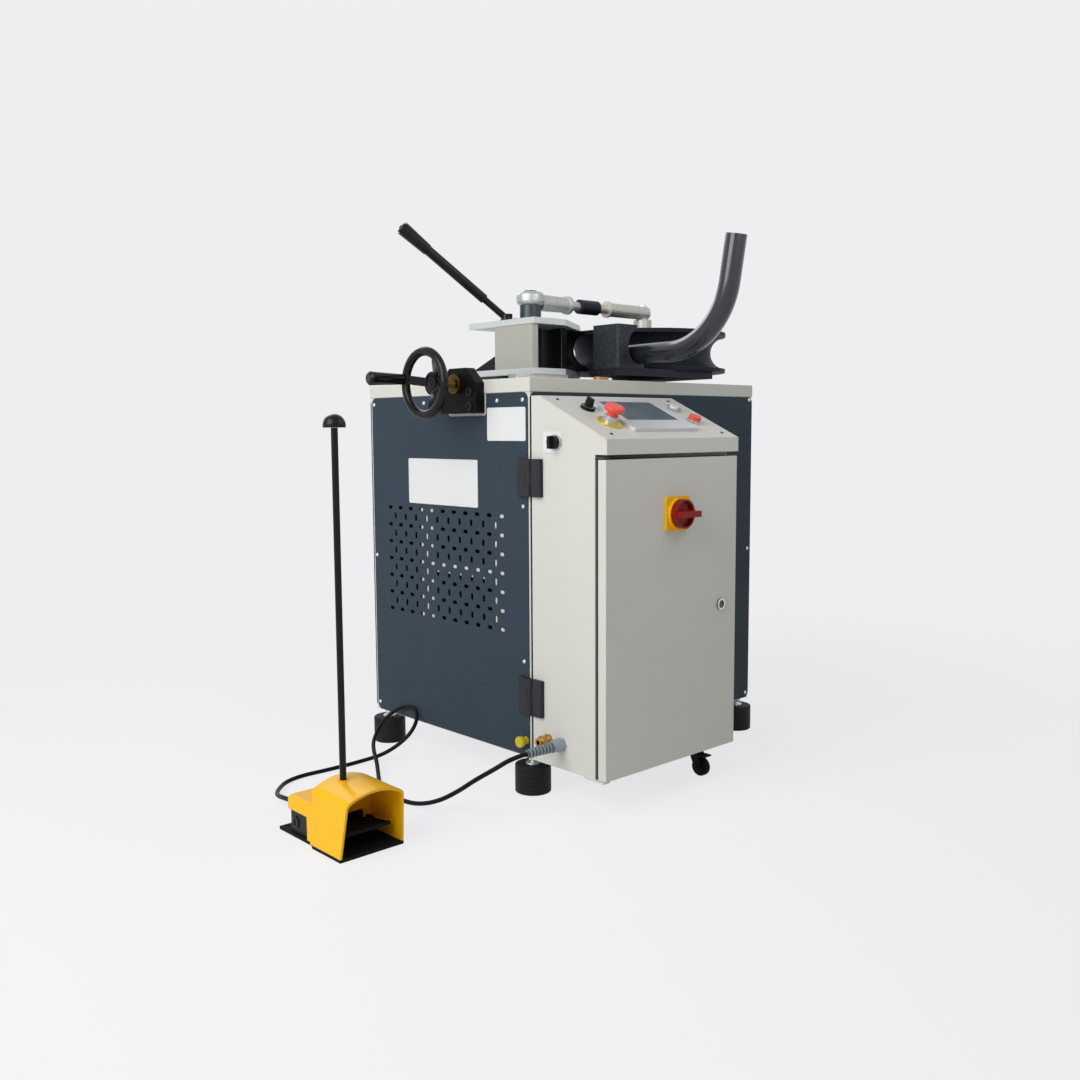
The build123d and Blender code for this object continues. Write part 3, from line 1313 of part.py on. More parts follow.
with BuildPart() as main_switch_plate:
    with BuildSketch(MAIN_PLANE):
        RectangleRounded(MAIN_PLATE, MAIN_PLATE, MAIN_PLATE_CORNER)
    extrude(amount=MAIN_PLATE_T)
    stack(MAIN_PLANE.offset(MAIN_PLATE_T), (MAIN_COLLAR_R, MAIN_COLLAR_T))
    drill(MAIN_PLANE, MAIN_SHAFT_R + RUN, MAIN_PLATE_T + MAIN_COLLAR_T)
keep(main_switch_plate, "main_switch_plate")

with BuildPart() as main_switch_knob:
    stack(
        MAIN_PLANE,
        (MAIN_SHAFT_R, MAIN_PLATE_T + MAIN_COLLAR_T + SNUG),
        (MAIN_KNOB_R, MAIN_KNOB_T),
    )
    with Locations(MAIN_PLANE.offset(MAIN_PLATE_T + MAIN_COLLAR_T + SNUG + MAIN_KNOB_T - MAIN_KNOB_SINK)):
        Cylinder(MAIN_KNOB_R - MAIN_KNOB_RIM, MAIN_KNOB_SINK, align=FOOT, mode=Mode.SUBTRACT)
        Box(2 * MAIN_KNOB_R - MAIN_KNOB_RIM, MAIN_BAR_W, MAIN_KNOB_SINK + MAIN_BAR_H, align=FOOT)
keep(main_switch_knob, "main_switch_knob")

# Door lock: a slotted head outside, a shaft through the sheet and a cam inside
LOCK_PLANE = towards_front(LOCK_X, DOOR_FRONT, LOCK_Z)

with BuildPart() as door_lock:
    stack(LOCK_PLANE.offset(-LOCK_SHAFT_L), (LOCK_SHAFT_R, LOCK_SHAFT_L + RUN), (LOCK_R, LOCK_T))
    with Locations(LOCK_PLANE.offset(RUN + LOCK_T)):
        Box(LOCK_SLOT_W, LOCK_R, LOCK_T, mode=Mode.SUBTRACT)
    with Locations(LOCK_PLANE.offset(-LOCK_SHAFT_L)):
        with Locations((LOCK_CAM_L / 2, 0, 0)):
            Box(LOCK_CAM_L, LOCK_R, LOCK_CAM_T, align=FOOT)
keep(door_lock, "door_lock")

# Castor fork: stem in the cabinet's floor, crown, two cheeks, the axle and a brake tab
CROWN_LOW = CAB_LOW - CASTOR_TOP_GAP - CROWN_T
AXLE_Y = CASTOR_Y - CASTOR_TRAIL
CHEEK_IN = CASTOR_W / 2 + CHEEK_GAP
AXLE_L = 2 * (CHEEK_IN + CHEEK_T + AXLE_OVER)
BRAKE_LOW = 2 * CASTOR_R + BRAKE_GAP

with BuildPart() as caster_fork:
    stack(
        Plane((CASTOR_X, CASTOR_Y, CROWN_LOW)),
        (CROWN_R, CROWN_T),
        (CASTOR_STEM_R, CASTOR_TOP_GAP + CASTOR_STEM_L),
    )
    for x in (CASTOR_X - CHEEK_IN - CHEEK_T, CASTOR_X + CHEEK_IN):
        with BuildSketch(side_sketch(x)):
            with BuildLine():
                Polyline(
                    (CASTOR_Y + CHEEK_W / 2, CROWN_LOW),
                    (CASTOR_Y - CHEEK_W / 2, CROWN_LOW),
                    (AXLE_Y - CHEEK_W / 2, CASTOR_R),
                    (AXLE_Y + CHEEK_W / 2, CASTOR_R),
                    close=True,
                )
            make_face()
            with Locations((AXLE_Y, CASTOR_R)):
                Circle(CHEEK_W / 2)
        extrude(amount=CHEEK_T)
    stack(towards_right(CASTOR_X - AXLE_L / 2, AXLE_Y, CASTOR_R), (AXLE_R, AXLE_L))
    block(
        (CASTOR_X - CHEEK_IN - CHEEK_T, AXLE_Y - BRAKE_L + CHEEK_W / 2, BRAKE_LOW),
        (CASTOR_X + CHEEK_IN + CHEEK_T, AXLE_Y + CHEEK_W / 2, BRAKE_LOW + BRAKE_T),
    )
keep(caster_fork, "caster_fork")

with BuildPart() as caster_wheel:
    stack(towards_right(CASTOR_X - CASTOR_W / 2, AXLE_Y, CASTOR_R), (CASTOR_R, CASTOR_W))
    fillet(caster_wheel.edges().filter_by(GeomType.CIRCLE), radius=CASTOR_EDGE)
    drill(towards_right(CASTOR_X - CASTOR_W / 2, AXLE_Y, CASTOR_R), AXLE_R + RUN, CASTOR_W)
keep(caster_wheel, "caster_wheel")

# Foot switch base: wide in front, narrower behind, with two lugs for the treadle's pin
LUG_PLACES = [PEDAL_X + side * (TREADLE_W / 2 + LUG_PLATE_T / 2 + SNUG) for side in (-1, 1)]
EAR_PLACES = [(PEDAL_X + side * PEDAL_REAR_W * 0.4, PEDAL_BACK - 2 * PEDAL_HOLE_R) for side in (-1, 1)]

with BuildPart() as pedal_base:
    with BuildSketch(Plane.XY):
        with Locations((PEDAL_X, PEDAL_FRONT)):
            Rectangle(PEDAL_W, PEDAL_STEP_Y - PEDAL_FRONT, align=(Align.CENTER, Align.MIN))
            Rectangle(PEDAL_REAR_W, PEDAL_BACK - PEDAL_FRONT, align=(Align.CENTER, Align.MIN))
        with Locations(*EAR_PLACES):
            Circle(PEDAL_HOLE_R, mode=Mode.SUBTRACT)
    extrude(amount=PEDAL_T)
    for x in LUG_PLACES:
        block(
            (x - LUG_PLATE_T / 2, TREADLE_Y - LUG_PLATE_W / 2, PEDAL_T),
            (x + LUG_PLATE_T / 2, TREADLE_Y + LUG_PLATE_W / 2, LUG_PLATE_TOP),
        )
    drill(towards_right(PEDAL_X - PEDAL_W, TREADLE_Y, TREADLE_Z), TREADLE_PIN_R, 2 * PEDAL_W)
keep(pedal_base, "pedal_base")


def arch(plane, crown, inset):
    """Arched outline of the hood on a plane, drawn in by the inset."""
    half = PEDAL_W / 2 - inset
    shoulder = HOOD_SHOULDER - PEDAL_T - inset
    left_top = (HOOD_SIDE_LEAN - half, shoulder)
    right_top = (half - HOOD_SIDE_LEAN, shoulder)
    with BuildSketch(plane) as drawn:
        with BuildLine():
            Polyline(right_top, (half, 0), (-half, 0), left_top)
            ThreePointArc(left_top, (0, crown - PEDAL_T - inset), right_top)
        make_face()
        fillet(drawn.vertices().sort_by(Axis.Y)[-2:], radius=HOOD_ROUND - inset)
    return drawn.sketch.face()


LEAN = math.atan2(HOOD_LEAN, HOOD_CROWN_FRONT - PEDAL_T)
HOOD_FRONT_PLANE = Plane(
    origin=(PEDAL_X, PEDAL_FRONT, PEDAL_T),
    x_dir=(1, 0, 0),
    z_dir=(0, -math.cos(LEAN), -math.sin(LEAN)),
)
HOOD_BACK_PLANE = towards_front(PEDAL_X, HOOD_BACK, PEDAL_T)
HOOD_IN_PLANE = towards_front(PEDAL_X, HOOD_BACK - HOOD_WALL, PEDAL_T)
COVER_HALF = PEDAL_REAR_W / 2
CROWN_ALONG = HOOD_CROWN_FRONT / math.cos(LEAN)

# Hood: an arched front, open towards the foot, and a lower cover with skirts over the switch box
with BuildPart() as pedal_hood:
    loft([arch(HOOD_FRONT_PLANE, CROWN_ALONG, 0), arch(HOOD_BACK_PLANE, HOOD_CROWN_BACK, 0)])
    with BuildSketch(towards_front(PEDAL_X, COVER_BACK, COVER_LOW)) as cover_end:
        Rectangle(2 * COVER_HALF, COVER_TOP - COVER_LOW, align=(Align.CENTER, Align.MIN))
        fillet(cover_end.vertices().sort_by(Axis.Y)[-2:], radius=COVER_ROUND)
    extrude(amount=COVER_BACK - HOOD_BACK + HOOD_WALL)
    for x in (PEDAL_X - COVER_HALF, PEDAL_X + COVER_HALF - HOOD_WALL):
        block((x, HOOD_BACK - HOOD_WALL, PEDAL_T), (x + HOOD_WALL, HOOD_BACK + SKIRT_L, COVER_LOW))
    loft(
        [
            arch(HOOD_FRONT_PLANE.offset(SNUG), CROWN_ALONG, HOOD_WALL),
            arch(HOOD_IN_PLANE, HOOD_CROWN_BACK, HOOD_WALL),
        ],
        mode=Mode.SUBTRACT,
    )
    block(
        (PEDAL_X - HOOD_WINDOW_W / 2, HOOD_BACK - 2 * HOOD_WALL, PEDAL_T),
        (PEDAL_X + HOOD_WINDOW_W / 2, HOOD_BACK + HOOD_WALL, PEDAL_T + HOOD_WINDOW_H),
        mode=Mode.SUBTRACT,
    )
    block(
        (PEDAL_X - SWITCH_W / 2 - SNUG, SWITCH_FRONT - SNUG, COVER_LOW),
        (PEDAL_X + SWITCH_W / 2 + SNUG, SWITCH_BACK + BEYOND, SWITCH_TOP),
        mode=Mode.SUBTRACT,
    )
    with Locations((POLE_X, POLE_Y, POLE_BOSS_TOP - 2 * HOOD_WALL - POLE_SPIGOT_L / 2)):
        Cylinder(POLE_BOSS_R, 2 * HOOD_WALL + POLE_SPIGOT_L / 2, align=FOOT)
    with Locations((POLE_X, POLE_Y, POLE_BOSS_TOP - POLE_SPIGOT_L)):
        Cylinder(POLE_SPIGOT_R + RUN, POLE_SPIGOT_L, align=FOOT, mode=Mode.SUBTRACT)
keep(pedal_hood, "pedal_hood")

# Switch box with its cable entry, and the treadle's pin
with BuildPart() as pedal_switch_box:
    block(
        (PEDAL_X - SWITCH_W / 2, SWITCH_FRONT, PEDAL_T),
        (PEDAL_X + SWITCH_W / 2, SWITCH_BACK, SWITCH_TOP),
    )
    stack(
        Plane(origin=(ENTRY_X, SWITCH_BACK, ENTRY_Z), x_dir=(-1, 0, 0), z_dir=(0, 1, 0)),
        (ENTRY_R, ENTRY_L),
    )
    stack(towards_right(PEDAL_X - TREADLE_PIN_L / 2, TREADLE_Y, TREADLE_Z), (TREADLE_PIN_R, TREADLE_PIN_L))
keep(pedal_switch_box, "pedal_switch_box")

# Treadle: a plate that slopes up to the front, with a barrel on the pin
TREADLE_TILT = math.radians(TREADLE_RISE)
TREADLE_PLANE = Plane(
    origin=(PEDAL_X, TREADLE_Y, TREADLE_Z),
    x_dir=(1, 0, 0),
    z_dir=(0, math.sin(TREADLE_TILT), math.cos(TREADLE_TILT)),
)

with BuildPart() as pedal_treadle:
    with Locations(TREADLE_PLANE):
        with Locations((0, -TREADLE_L / 2, 0)):
            Box(TREADLE_W, TREADLE_L, TREADLE_T, align=FOOT)
    stack(towards_right(PEDAL_X - TREADLE_W / 2, TREADLE_Y, TREADLE_Z), (TREADLE_BARREL_R, TREADLE_W))
    drill(
        towards_right(PEDAL_X - TREADLE_W / 2, TREADLE_Y, TREADLE_Z),
        TREADLE_PIN_R + RUN,
        TREADLE_W,
    )
keep(pedal_treadle, "pedal_treadle")

# Carrying pole with a mushroom cap
CAP_LOW = POLE_TOP + WELD_GAP

with BuildPart() as pedal_pole:
    stack(
        Plane((POLE_X, POLE_Y, POLE_BOSS_TOP - POLE_SPIGOT_L)),
        (POLE_SPIGOT_R, POLE_SPIGOT_L),
        (POLE_R, POLE_TOP - POLE_BOSS_TOP),
    )
    with BuildSketch(Plane(origin=(POLE_X, POLE_Y, CAP_LOW), x_dir=(1, 0, 0), z_dir=(0, -1, 0))):
        with BuildLine():
            Polyline((0, POLE_CAP_H), (0, 0), (POLE_CAP_R, 0), (POLE_CAP_R, POLE_CAP_RIM))
            Spline(
                (POLE_CAP_R, POLE_CAP_RIM),
                (POLE_CAP_R * 0.72, POLE_CAP_H * 0.75),
                (0, POLE_CAP_H),
            )
        make_face()
    revolve(axis=Axis((POLE_X, POLE_Y, 0), (0, 0, 1)))
keep(pedal_pole, "pedal_pole")


def corner_radii(points):
    """Bend radius at each inner point: most of the shorter run beside it, spread over the turn."""
    radii = []
    for before, here, after in zip(points, points[1:], points[2:]):
        way_in = Vector(here) - Vector(before)
        way_out = Vector(after) - Vector(here)
        half_turn = math.radians(way_in.get_angle(way_out) / 2)
        radii.append(0.45 * min(way_in.length, way_out.length) / math.tan(half_turn))
    return radii


# Foot switch cable
CABLE_RADII = corner_radii(CABLE_ROUTE)

with BuildPart() as pedal_cable:
    with BuildLine() as cable_line:
        FilletPolyline(*CABLE_ROUTE, radius=CABLE_RADII)
    with BuildSketch(Plane(cable_line.line @ 0, z_dir=cable_line.line % 0)):
        Circle(CABLE_D / 2)
    sweep()
keep(pedal_cable, "pedal_cable")

CABLE_L = sum(edge.length for edge in cable_line.edges())
CABLE_SOLID = math.pi * (CABLE_D / 2) ** 2 * CABLE_L
print("cable bend radii:", [round(radius) for radius in CABLE_RADII])
print("smallest cable bend over its diameter:", round(min(CABLE_RADII) / CABLE_D, 2))
print("cable length:", round(CABLE_L, 1))
print("cable volume over section times length:", round(pedal_cable.part.volume / CABLE_SOLID, 4))
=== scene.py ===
"""Looks of the pipe bending machine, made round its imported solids."""

import math

import bmesh
import bpy
from mathutils import Matrix, Vector


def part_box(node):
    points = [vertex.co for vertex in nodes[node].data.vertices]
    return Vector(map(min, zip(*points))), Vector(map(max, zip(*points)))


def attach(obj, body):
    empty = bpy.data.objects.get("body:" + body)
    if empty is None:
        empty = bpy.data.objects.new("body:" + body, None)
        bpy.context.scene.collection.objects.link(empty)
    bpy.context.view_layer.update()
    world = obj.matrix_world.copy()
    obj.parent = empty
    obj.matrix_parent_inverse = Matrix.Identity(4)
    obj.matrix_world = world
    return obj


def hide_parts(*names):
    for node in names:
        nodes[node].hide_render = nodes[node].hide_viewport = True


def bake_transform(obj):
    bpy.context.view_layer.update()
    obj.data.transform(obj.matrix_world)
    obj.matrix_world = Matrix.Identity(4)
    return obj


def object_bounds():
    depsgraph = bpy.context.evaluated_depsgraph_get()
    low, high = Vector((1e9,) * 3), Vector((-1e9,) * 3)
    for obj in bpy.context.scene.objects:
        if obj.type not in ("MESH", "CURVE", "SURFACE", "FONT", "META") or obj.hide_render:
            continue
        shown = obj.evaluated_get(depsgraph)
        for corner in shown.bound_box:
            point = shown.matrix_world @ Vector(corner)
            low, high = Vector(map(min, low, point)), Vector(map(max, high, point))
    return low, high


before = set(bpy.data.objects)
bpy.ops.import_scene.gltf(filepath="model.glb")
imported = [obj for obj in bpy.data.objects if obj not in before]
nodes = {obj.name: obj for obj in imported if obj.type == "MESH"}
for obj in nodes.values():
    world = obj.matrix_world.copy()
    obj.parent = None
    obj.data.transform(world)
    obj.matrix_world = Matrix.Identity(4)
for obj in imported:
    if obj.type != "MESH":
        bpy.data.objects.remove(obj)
cad_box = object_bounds()
scene = bpy.context.scene

# Sizes are in millimetres, and become metres where a piece is made
MM = 0.001
UP = (0, 0, 1)
TO_LEFT = (-1, 0, 0)
TO_RIGHT = (1, 0, 0)
TO_FRONT = (0, -1, 0)
TO_BACK = (0, 1, 0)

# Camera
CAMERA_AT = (-1456.97, -1603.89, 747.68)
CAMERA_YAW = 42.703
CAMERA_PITCH = 5.906
CAMERA_ROLL = 0.338
CAMERA_LENS = 35.758
SENSOR = 36.0

# Foot switch cable, from the gland's tail to the switch box
CABLE_D = 9.0
CABLE_SIDES = 4
CABLE_STEPS = 8
CABLE_ORDER = 3
CABLE_ROUTE = (
    (-116, -109.4, 126.4),
    (-152, -109.4, 126.4),
    (-184, -92, 107),
    (-196, -51, 80),
    (-205, -9, 49),
    (-219, 38, 20),
    (-235, 88, 4.8),
    (-243, 143, 4.8),
    (-236, 198, 4.8),
    (-214, 248, 4.8),
    (-186, 294, 9),
    (-162, 334, 20),
    (-140, 378, 29),
    (-115, 418, 38),
    (-84, 444, 54),
    (-56, 446, 81),
    (-32, 423, 103),
    (-25, 384, 109),
    (-38, 348, 97),
    (-64, 333, 71),
    (-91, 346, 43),
    (-114, 382, 15),
    (-148, 404, 4.8),
    (-196, 401, 4.8),
    (-252, 402, 4.8),
    (-306, 406, 4.8),
    (-352, 394, 4.8),
    (-392, 354, 8),
    (-424, 304, 18),
    (-446, 254, 31),
    (-456, 214, 40),
    (-457.5, 174, 43),
    (-457.5, 144, 43),
)

# Places that the details share with the solids
PANEL_LEFT = -22
BRACKET_FACE = -45
HEAD_Y = 178
DIE_X = 532
ROLLER_X = 276.5
SCREW_LEVEL = 842
SLOPE_LEFT = -22
SLOPE_BACK = -49.8
SLOPE_TOP = 813.2
SLOPE_ANGLE = 24.901
ESTOP_ACROSS = 75
ESTOP_DOWN = 130
SELECTOR_ACROSS = 75
SELECTOR_DOWN = 64
TABLE_TOP = 850

# Outlines of screw heads and their sockets, as shares of the radius and the height
BUTTON_PROFILE = ((1, 0), (1, 0.25), (0.93, 0.58), (0.76, 0.86), (0.52, 1))
BUTTON_SOCKET = ((0.46, 1), (0.44, 0.4))
CAP_PROFILE = ((1, 0), (1, 0.8), (0.93, 1), (0.68, 1))
CAP_SOCKET = ((0.62, 1), (0.6, 0.2))

# Panel screws
SCREW_R = 4.4
SCREW_H = 2.4
SCREW_INSET = 12
LEFT_SCREWS = ((521, 806), (327, 806), (78, 806), (0, 806), (521, 453), (521, 97), (0, 593), (0, 276))

# Bracket bolts
BOLT_R = 9.5
BOLT_H = 3.5
BOLT_OFF = 39
BOLT_LEVELS = (795, 825)

# Screws of the sloped control panel: across, down
SLOPE_SCREWS = ((33, 18), (33, 179), (366, 18), (366, 179))
SLOPE_SCREW_R = 3.6
SLOPE_SCREW_H = 1.6

# Bare plates
SIGN_Y = (142, 387)
SIGN_Z = (583, 684)
NOTE_Y = (-9, 110)
NOTE_Z = (724, 792)
SELECTOR_Y = (-112, -60)
SELECTOR_Z = (701, 743)
SIGN_T = 1.6
NOTE_T = 0.8
PLATE_CORNER = 4
PLATE_EDGE = 0.4
SIGN_RIM = 2.5
SIGN_SINK = 0.3

# Touch screen glass
GLASS_ACROSS = 201
GLASS_DOWN = 85.5
GLASS_W = 153
GLASS_H = 88
GLASS_T = 0.8
GLASS_FLOOR = 6.0
GLASS_CORNER = 1.5

# Bronze strip on the table, under the hook
STRIP_AT = (221, 18)
STRIP_L = 34
STRIP_W = 18
STRIP_T = 8

# Seal round the cabinet's front
SEAL_X = (-21, 373)
SEAL_Z = (78, 690)
SEAL_FACE = -201.5
SEAL_T = 3.5
SEAL_W = 8
SEAL_SHOULDER = 0.7
SEAL_CORNER = 3

# Treads on the foot switch's treadle
PEDAL_X = -431.5
TREADLE_AT = (34, 26)
TREADLE_TILT = 9
TREADLE_T = 6
TREADS = (16, 29, 42, 55, 66)
TREAD_L = 88
TREAD_W = 5
TREAD_T = 1.6
TREAD_CORNER = 1.5

# Flange over the cabinet's door
FLANGE_X = (-21, 372)
FLANGE_Z = (690.5, 698.8)
FLANGE_T = 3
FLANGE_CORNER = 1

# Flat bars behind the left panel: two upright ones and one across
BAR_BACK = -14
BAR_T = 5.5
BAR_ENDS = (120.5, 769.5)
BARS_Y = ((305, 348), (64, 101))
BAR_ACROSS_Z = (433, 460)
BAR_CORNER = 1

# Screws of the carriage's top plate
PLATE_TOP = 981
PLATE_SCREWS = ((85.5, 96), (85.5, 139), (85.5, 182), (207.5, 140), (207.5, 216))
PLATE_SCREW_R = 6.5
PLATE_SCREW_H = 1.6

# Ends of the handles
GRIP_AT = (239.73, 851.78)
GRIP_END = -224.5
GRIP_SCREW_R = 7
GRIP_SCREW_H = 1.4
HUB_END = -112.5
HUB_SCREW_R = 13
HUB_SCREW_H = 2
LEVER_AT = (128, 218, 991)
LEVER_WAY = (-0.8106, 0.1429, 0.5678)
LEVER_L = 305
LEVER_CAP_R = 11.5
LEVER_CAP_H = 4

# Spacer under the tie rod, round the spindle's neck
SPACER_LOW = 988.3
SPACER_H = 22.2
SPACER_R = 22
SPACER_BORE = 12.4
SPACER_EDGE = 1.5

# Raised rim of the door lock
LOCK_AT = (322, -233.65, 382)
LOCK_RIM_R = 12
LOCK_RIM_BORE = 8.6
LOCK_RIM_H = 1.8

# Plug on the side of the foot switch's box
BOX_PLUG_AT = (-487.5, 117, 27)
BOX_PLUG_R = 11
BOX_PLUG_H = 2

# Where paint changes on one solid
ESTOP_RING = (15.3, 30)
SELECTOR_RING = (11.6, 16)
# Painted shade on the carriage's web and gusset starts at these places
WEB_FROM = 190
GUSSET_FROM = 199.2
# Painted shade in the gap over the door: its fade along the flange, then where it lies on the shell
GAP_FADE = (-20, 240)
GAP_FROM = -201.5
GAP_LEVELS = (690.2, 699.2)
# Painted shade on the lock's core
LOCK_CORE_R = 8
JOURNAL_FROM = -46
# Painted shade in the grooves of the gland's tail
TAIL_FROM = -48
TAIL_PITCH = 8.5
TAIL_WAVE_FROM = -54.375

# How finely round things are cut, and how near to each other points become one
ROUND_SIDES = 24
CORNER_STEPS = 5
SHARP_ANGLE = 35
MERGE = 0.04

# How screen levels become light
TOP_LEVEL = 255
LEVEL_KNEE = 0.04045
LEVEL_SLOPE = 12.92
LEVEL_OFFSET = 0.055
LEVEL_POWER = 2.4

# Colours, as 0 to 255
BACKGROUND = (238, 238, 240)
CREAM = (215, 215, 208)
CREAM_OTHER = (209, 209, 201)
SLATE = (48, 60, 70)
SLATE_OTHER = (58, 71, 82)
RUBBER = (14, 15, 16)
RUBBER_OTHER = (24, 25, 27)
ZINC = (224, 228, 228)
ZINC_OTHER = (200, 205, 206)
ZINC_WORN = (232, 234, 234)
MILLED = (190, 189, 178)
MILLED_OTHER = (180, 179, 169)
CAST = (205, 209, 208)
CAST_OTHER = (158, 161, 158)
CAST_DULL = (222, 220, 212)
CAST_DULL_OTHER = (174, 171, 164)
POST = (70, 75, 77)
POST_OTHER = (56, 61, 63)
OXIDE = (33, 36, 42)
OXIDE_OTHER = (46, 50, 57)
OXIDE_WORN = (112, 117, 124)
ROLLER = (15, 16, 20)
ROLLER_OTHER = (24, 26, 31)
CHROME = (140, 142, 145)
CHROME_OTHER = (124, 126, 129)
# Painted shade for the carriage's web and gusset
INSIDE_PAINTED_SHADE = (38, 39, 41)
# Painted shade in the gap over the door
GAP_PAINTED_SHADE = (66, 66, 58)
# Painted shade for the lock's core
LOCK_CORE_PAINTED_SHADE = (58, 59, 61)
HOOK = (46, 49, 55)
HOOK_OTHER = (62, 66, 73)
PIPE = (33, 37, 45)
PIPE_OTHER = (26, 30, 37)
MOTOR = (92, 99, 104)
MOTOR_OTHER = (80, 87, 92)
BRASS = (198, 162, 92)
BRASS_OTHER = (170, 134, 68)
BUSH = (70, 54, 28)
BUSH_OTHER = (122, 94, 48)
BRONZE = (204, 150, 98)
BRONZE_OTHER = (184, 128, 78)
SILVER = (198, 200, 204)
SILVER_OTHER = (182, 184, 188)
BEZEL = (222, 224, 227)
BEZEL_OTHER = (214, 216, 219)
YELLOW = (249, 191, 14)
YELLOW_OTHER = (245, 183, 10)
LEMON = (210, 192, 52)
LEMON_OTHER = (198, 178, 42)
RED = (240, 84, 68)
RED_OTHER = (230, 72, 57)
RED_DEEP = (150, 28, 22)
RED_DEEP_OTHER = (128, 22, 18)
WHITE = (228, 229, 229)
WHITE_OTHER = (221, 222, 222)
BLACK = (13, 13, 14)
BLACK_OTHER = (21, 21, 23)
HINGE = (36, 38, 42)
HINGE_OTHER = (50, 52, 57)
SEAL = (96, 98, 98)
SEAL_OTHER = (84, 86, 86)
GREY_BLUE = (158, 168, 180)
GREY_BLUE_OTHER = (144, 154, 166)
# Painted shade for the grooves of the gland's tail
GROOVE_PAINTED_SHADE = (58, 64, 72)
# Screen glass colour, which also carries a painted reflection of the surroundings
GLASS_WITH_REFLECTION = (108, 121, 133)
GLASS_WITH_REFLECTION_OTHER = (128, 140, 150)

# Sizes in the finishes, in metres
CLOUD_SIZE = 0.12
WEAR_SIZE = 0.012
EDGE_R = 0.001
PAINT_EDGE = 0.0017
CAST_EDGE = 0.0015
BROAD_EDGE = 0.002
FOOT_RIB = 0.009
LEAD_PITCH = 0.004
STUD_PITCH = 0.00175
DIE_MARKS = 0.0016
ROLLER_MARKS = 0.0012

# Shares in the finishes
EVEN = (1, 1, 1)
CLOUD = 0.22
EDGE_SAMPLES = 4
EDGE_FACING = (0.78, 0.98)
WEAR_SPREAD = (0.1, 0.9)
NOISE_RANGE = (0.3, 0.7)
HALF = 0.5
COAT_ROUGH = 0.12
SHINE = 0.5
SATIN = 0.35
DULL = 0.2
DARK = 0.1
DIM = 0.05
BROAD_DETAIL = 3.0
FINE_DETAIL = 4.0
DARKER = 0.82
RING_WAVES = 20

# Colour sockets of a mix node
MIX_COLOURS = (6, 7)
MIX_RESULT = 2

# Lamps and floor
KEY_AT = (-2780, -220, 2110)
KEY_SIZE = 2.4
KEY_POWER = 88
FRONT_AT = (250, -700, 1300)
FRONT_SIZE = 0.6
FRONT_POWER = 1.9
BACK_AT = (450, 2600, 2500)
BACK_SIZE = 1.5
BACK_POWER = 16
LAMP_AIM = (300, 200, 500)
WORLD_LIGHT = 0.22
WORLD_COLOUR = (1.0, 1.0, 1.0, 1.0)
BACKDROP_LIGHT = 1.0
FLOOR_SIZE = 9.0
FLOOR_DROP = 0.0005
FLOOR_FADE = (1.1, 2.6)
FLOOR_COLOUR = (244, 244, 246)
FLOOR_GLOW = 0.8
FLOOR_SHEEN = (246, 246, 248)


# Colour helpers
def linear(level):
    """Light given by one screen level."""
    share = level / TOP_LEVEL
    if share <= LEVEL_KNEE:
        return share / LEVEL_SLOPE
    return ((share + LEVEL_OFFSET) / (1 + LEVEL_OFFSET)) ** LEVEL_POWER


def shade(colour, factor=1.0):
    """A colour for a shader, made darker by a factor where given."""
    return tuple(linear(level) * factor for level in colour) + (1.0,)


# Node helpers
def start(name, metallic, coat, shine):
    """A new material with the values that are the same all over it."""
    made = bpy.data.materials.new(name)
    made.use_nodes = True
    tree = made.node_tree
    shader = tree.nodes["Principled BSDF"]
    shader.inputs["Metallic"].default_value = metallic
    shader.inputs["Coat Weight"].default_value = coat
    shader.inputs["Coat Roughness"].default_value = COAT_ROUGH
    shader.inputs["Specular IOR Level"].default_value = shine
    return made, tree, shader


def place(tree, stretch=EVEN, shift=(0, 0, 0), turn=(0, 0, 0)):
    """Object coordinates, moved so that shift becomes the origin, then turned and stretched."""
    coords = tree.nodes.new("ShaderNodeTexCoord")
    moved = tree.nodes.new("ShaderNodeVectorMath")
    moved.operation = "SUBTRACT"
    moved.inputs[1].default_value = shift
    mapping = tree.nodes.new("ShaderNodeMapping")
    mapping.inputs["Rotation"].default_value = turn
    mapping.inputs["Scale"].default_value = stretch
    tree.links.new(coords.outputs["Object"], moved.inputs[0])
    tree.links.new(moved.outputs["Vector"], mapping.inputs["Vector"])
    return mapping.outputs["Vector"]


def noise(tree, vector, size, detail=FINE_DETAIL):
    """Cloudy noise whose grains are about this many metres across."""
    texture = tree.nodes.new("ShaderNodeTexNoise")
    texture.inputs["Scale"].default_value = 1 / size
    texture.inputs["Detail"].default_value = detail
    tree.links.new(vector, texture.inputs["Vector"])
    return texture.outputs["Fac"]


def waves(tree, vector, pitch, kind, direction):
    """Rings or bands that repeat every pitch metres."""
    texture = tree.nodes.new("ShaderNodeTexWave")
    texture.wave_type = kind
    if kind == "RINGS":
        texture.rings_direction = direction
    else:
        texture.bands_direction = direction
    texture.inputs["Scale"].default_value = 2 * math.pi / (RING_WAVES * pitch)
    tree.links.new(vector, texture.inputs["Vector"])
    return texture.outputs["Fac"]


def spread(tree, value, low, high, begin=NOISE_RANGE[0], end=NOISE_RANGE[1]):
    """Maps a value that runs from begin to end onto low to high."""
    node = tree.nodes.new("ShaderNodeMapRange")
    node.inputs["From Min"].default_value = begin
    node.inputs["From Max"].default_value = end
    node.inputs["To Min"].default_value = low
    node.inputs["To Max"].default_value = high
    tree.links.new(value, node.inputs["Value"])
    return node.outputs["Result"]


def sums(tree, operation, first, second):
    """One step of arithmetic on two values, each a number or a socket."""
    node = tree.nodes.new("ShaderNodeMath")
    node.operation = operation
    for socket, given in zip(node.inputs, (first, second)):
        if isinstance(given, bpy.types.NodeSocket):
            tree.links.new(given, socket)
        else:
            socket.default_value = given
    return node.outputs["Value"]


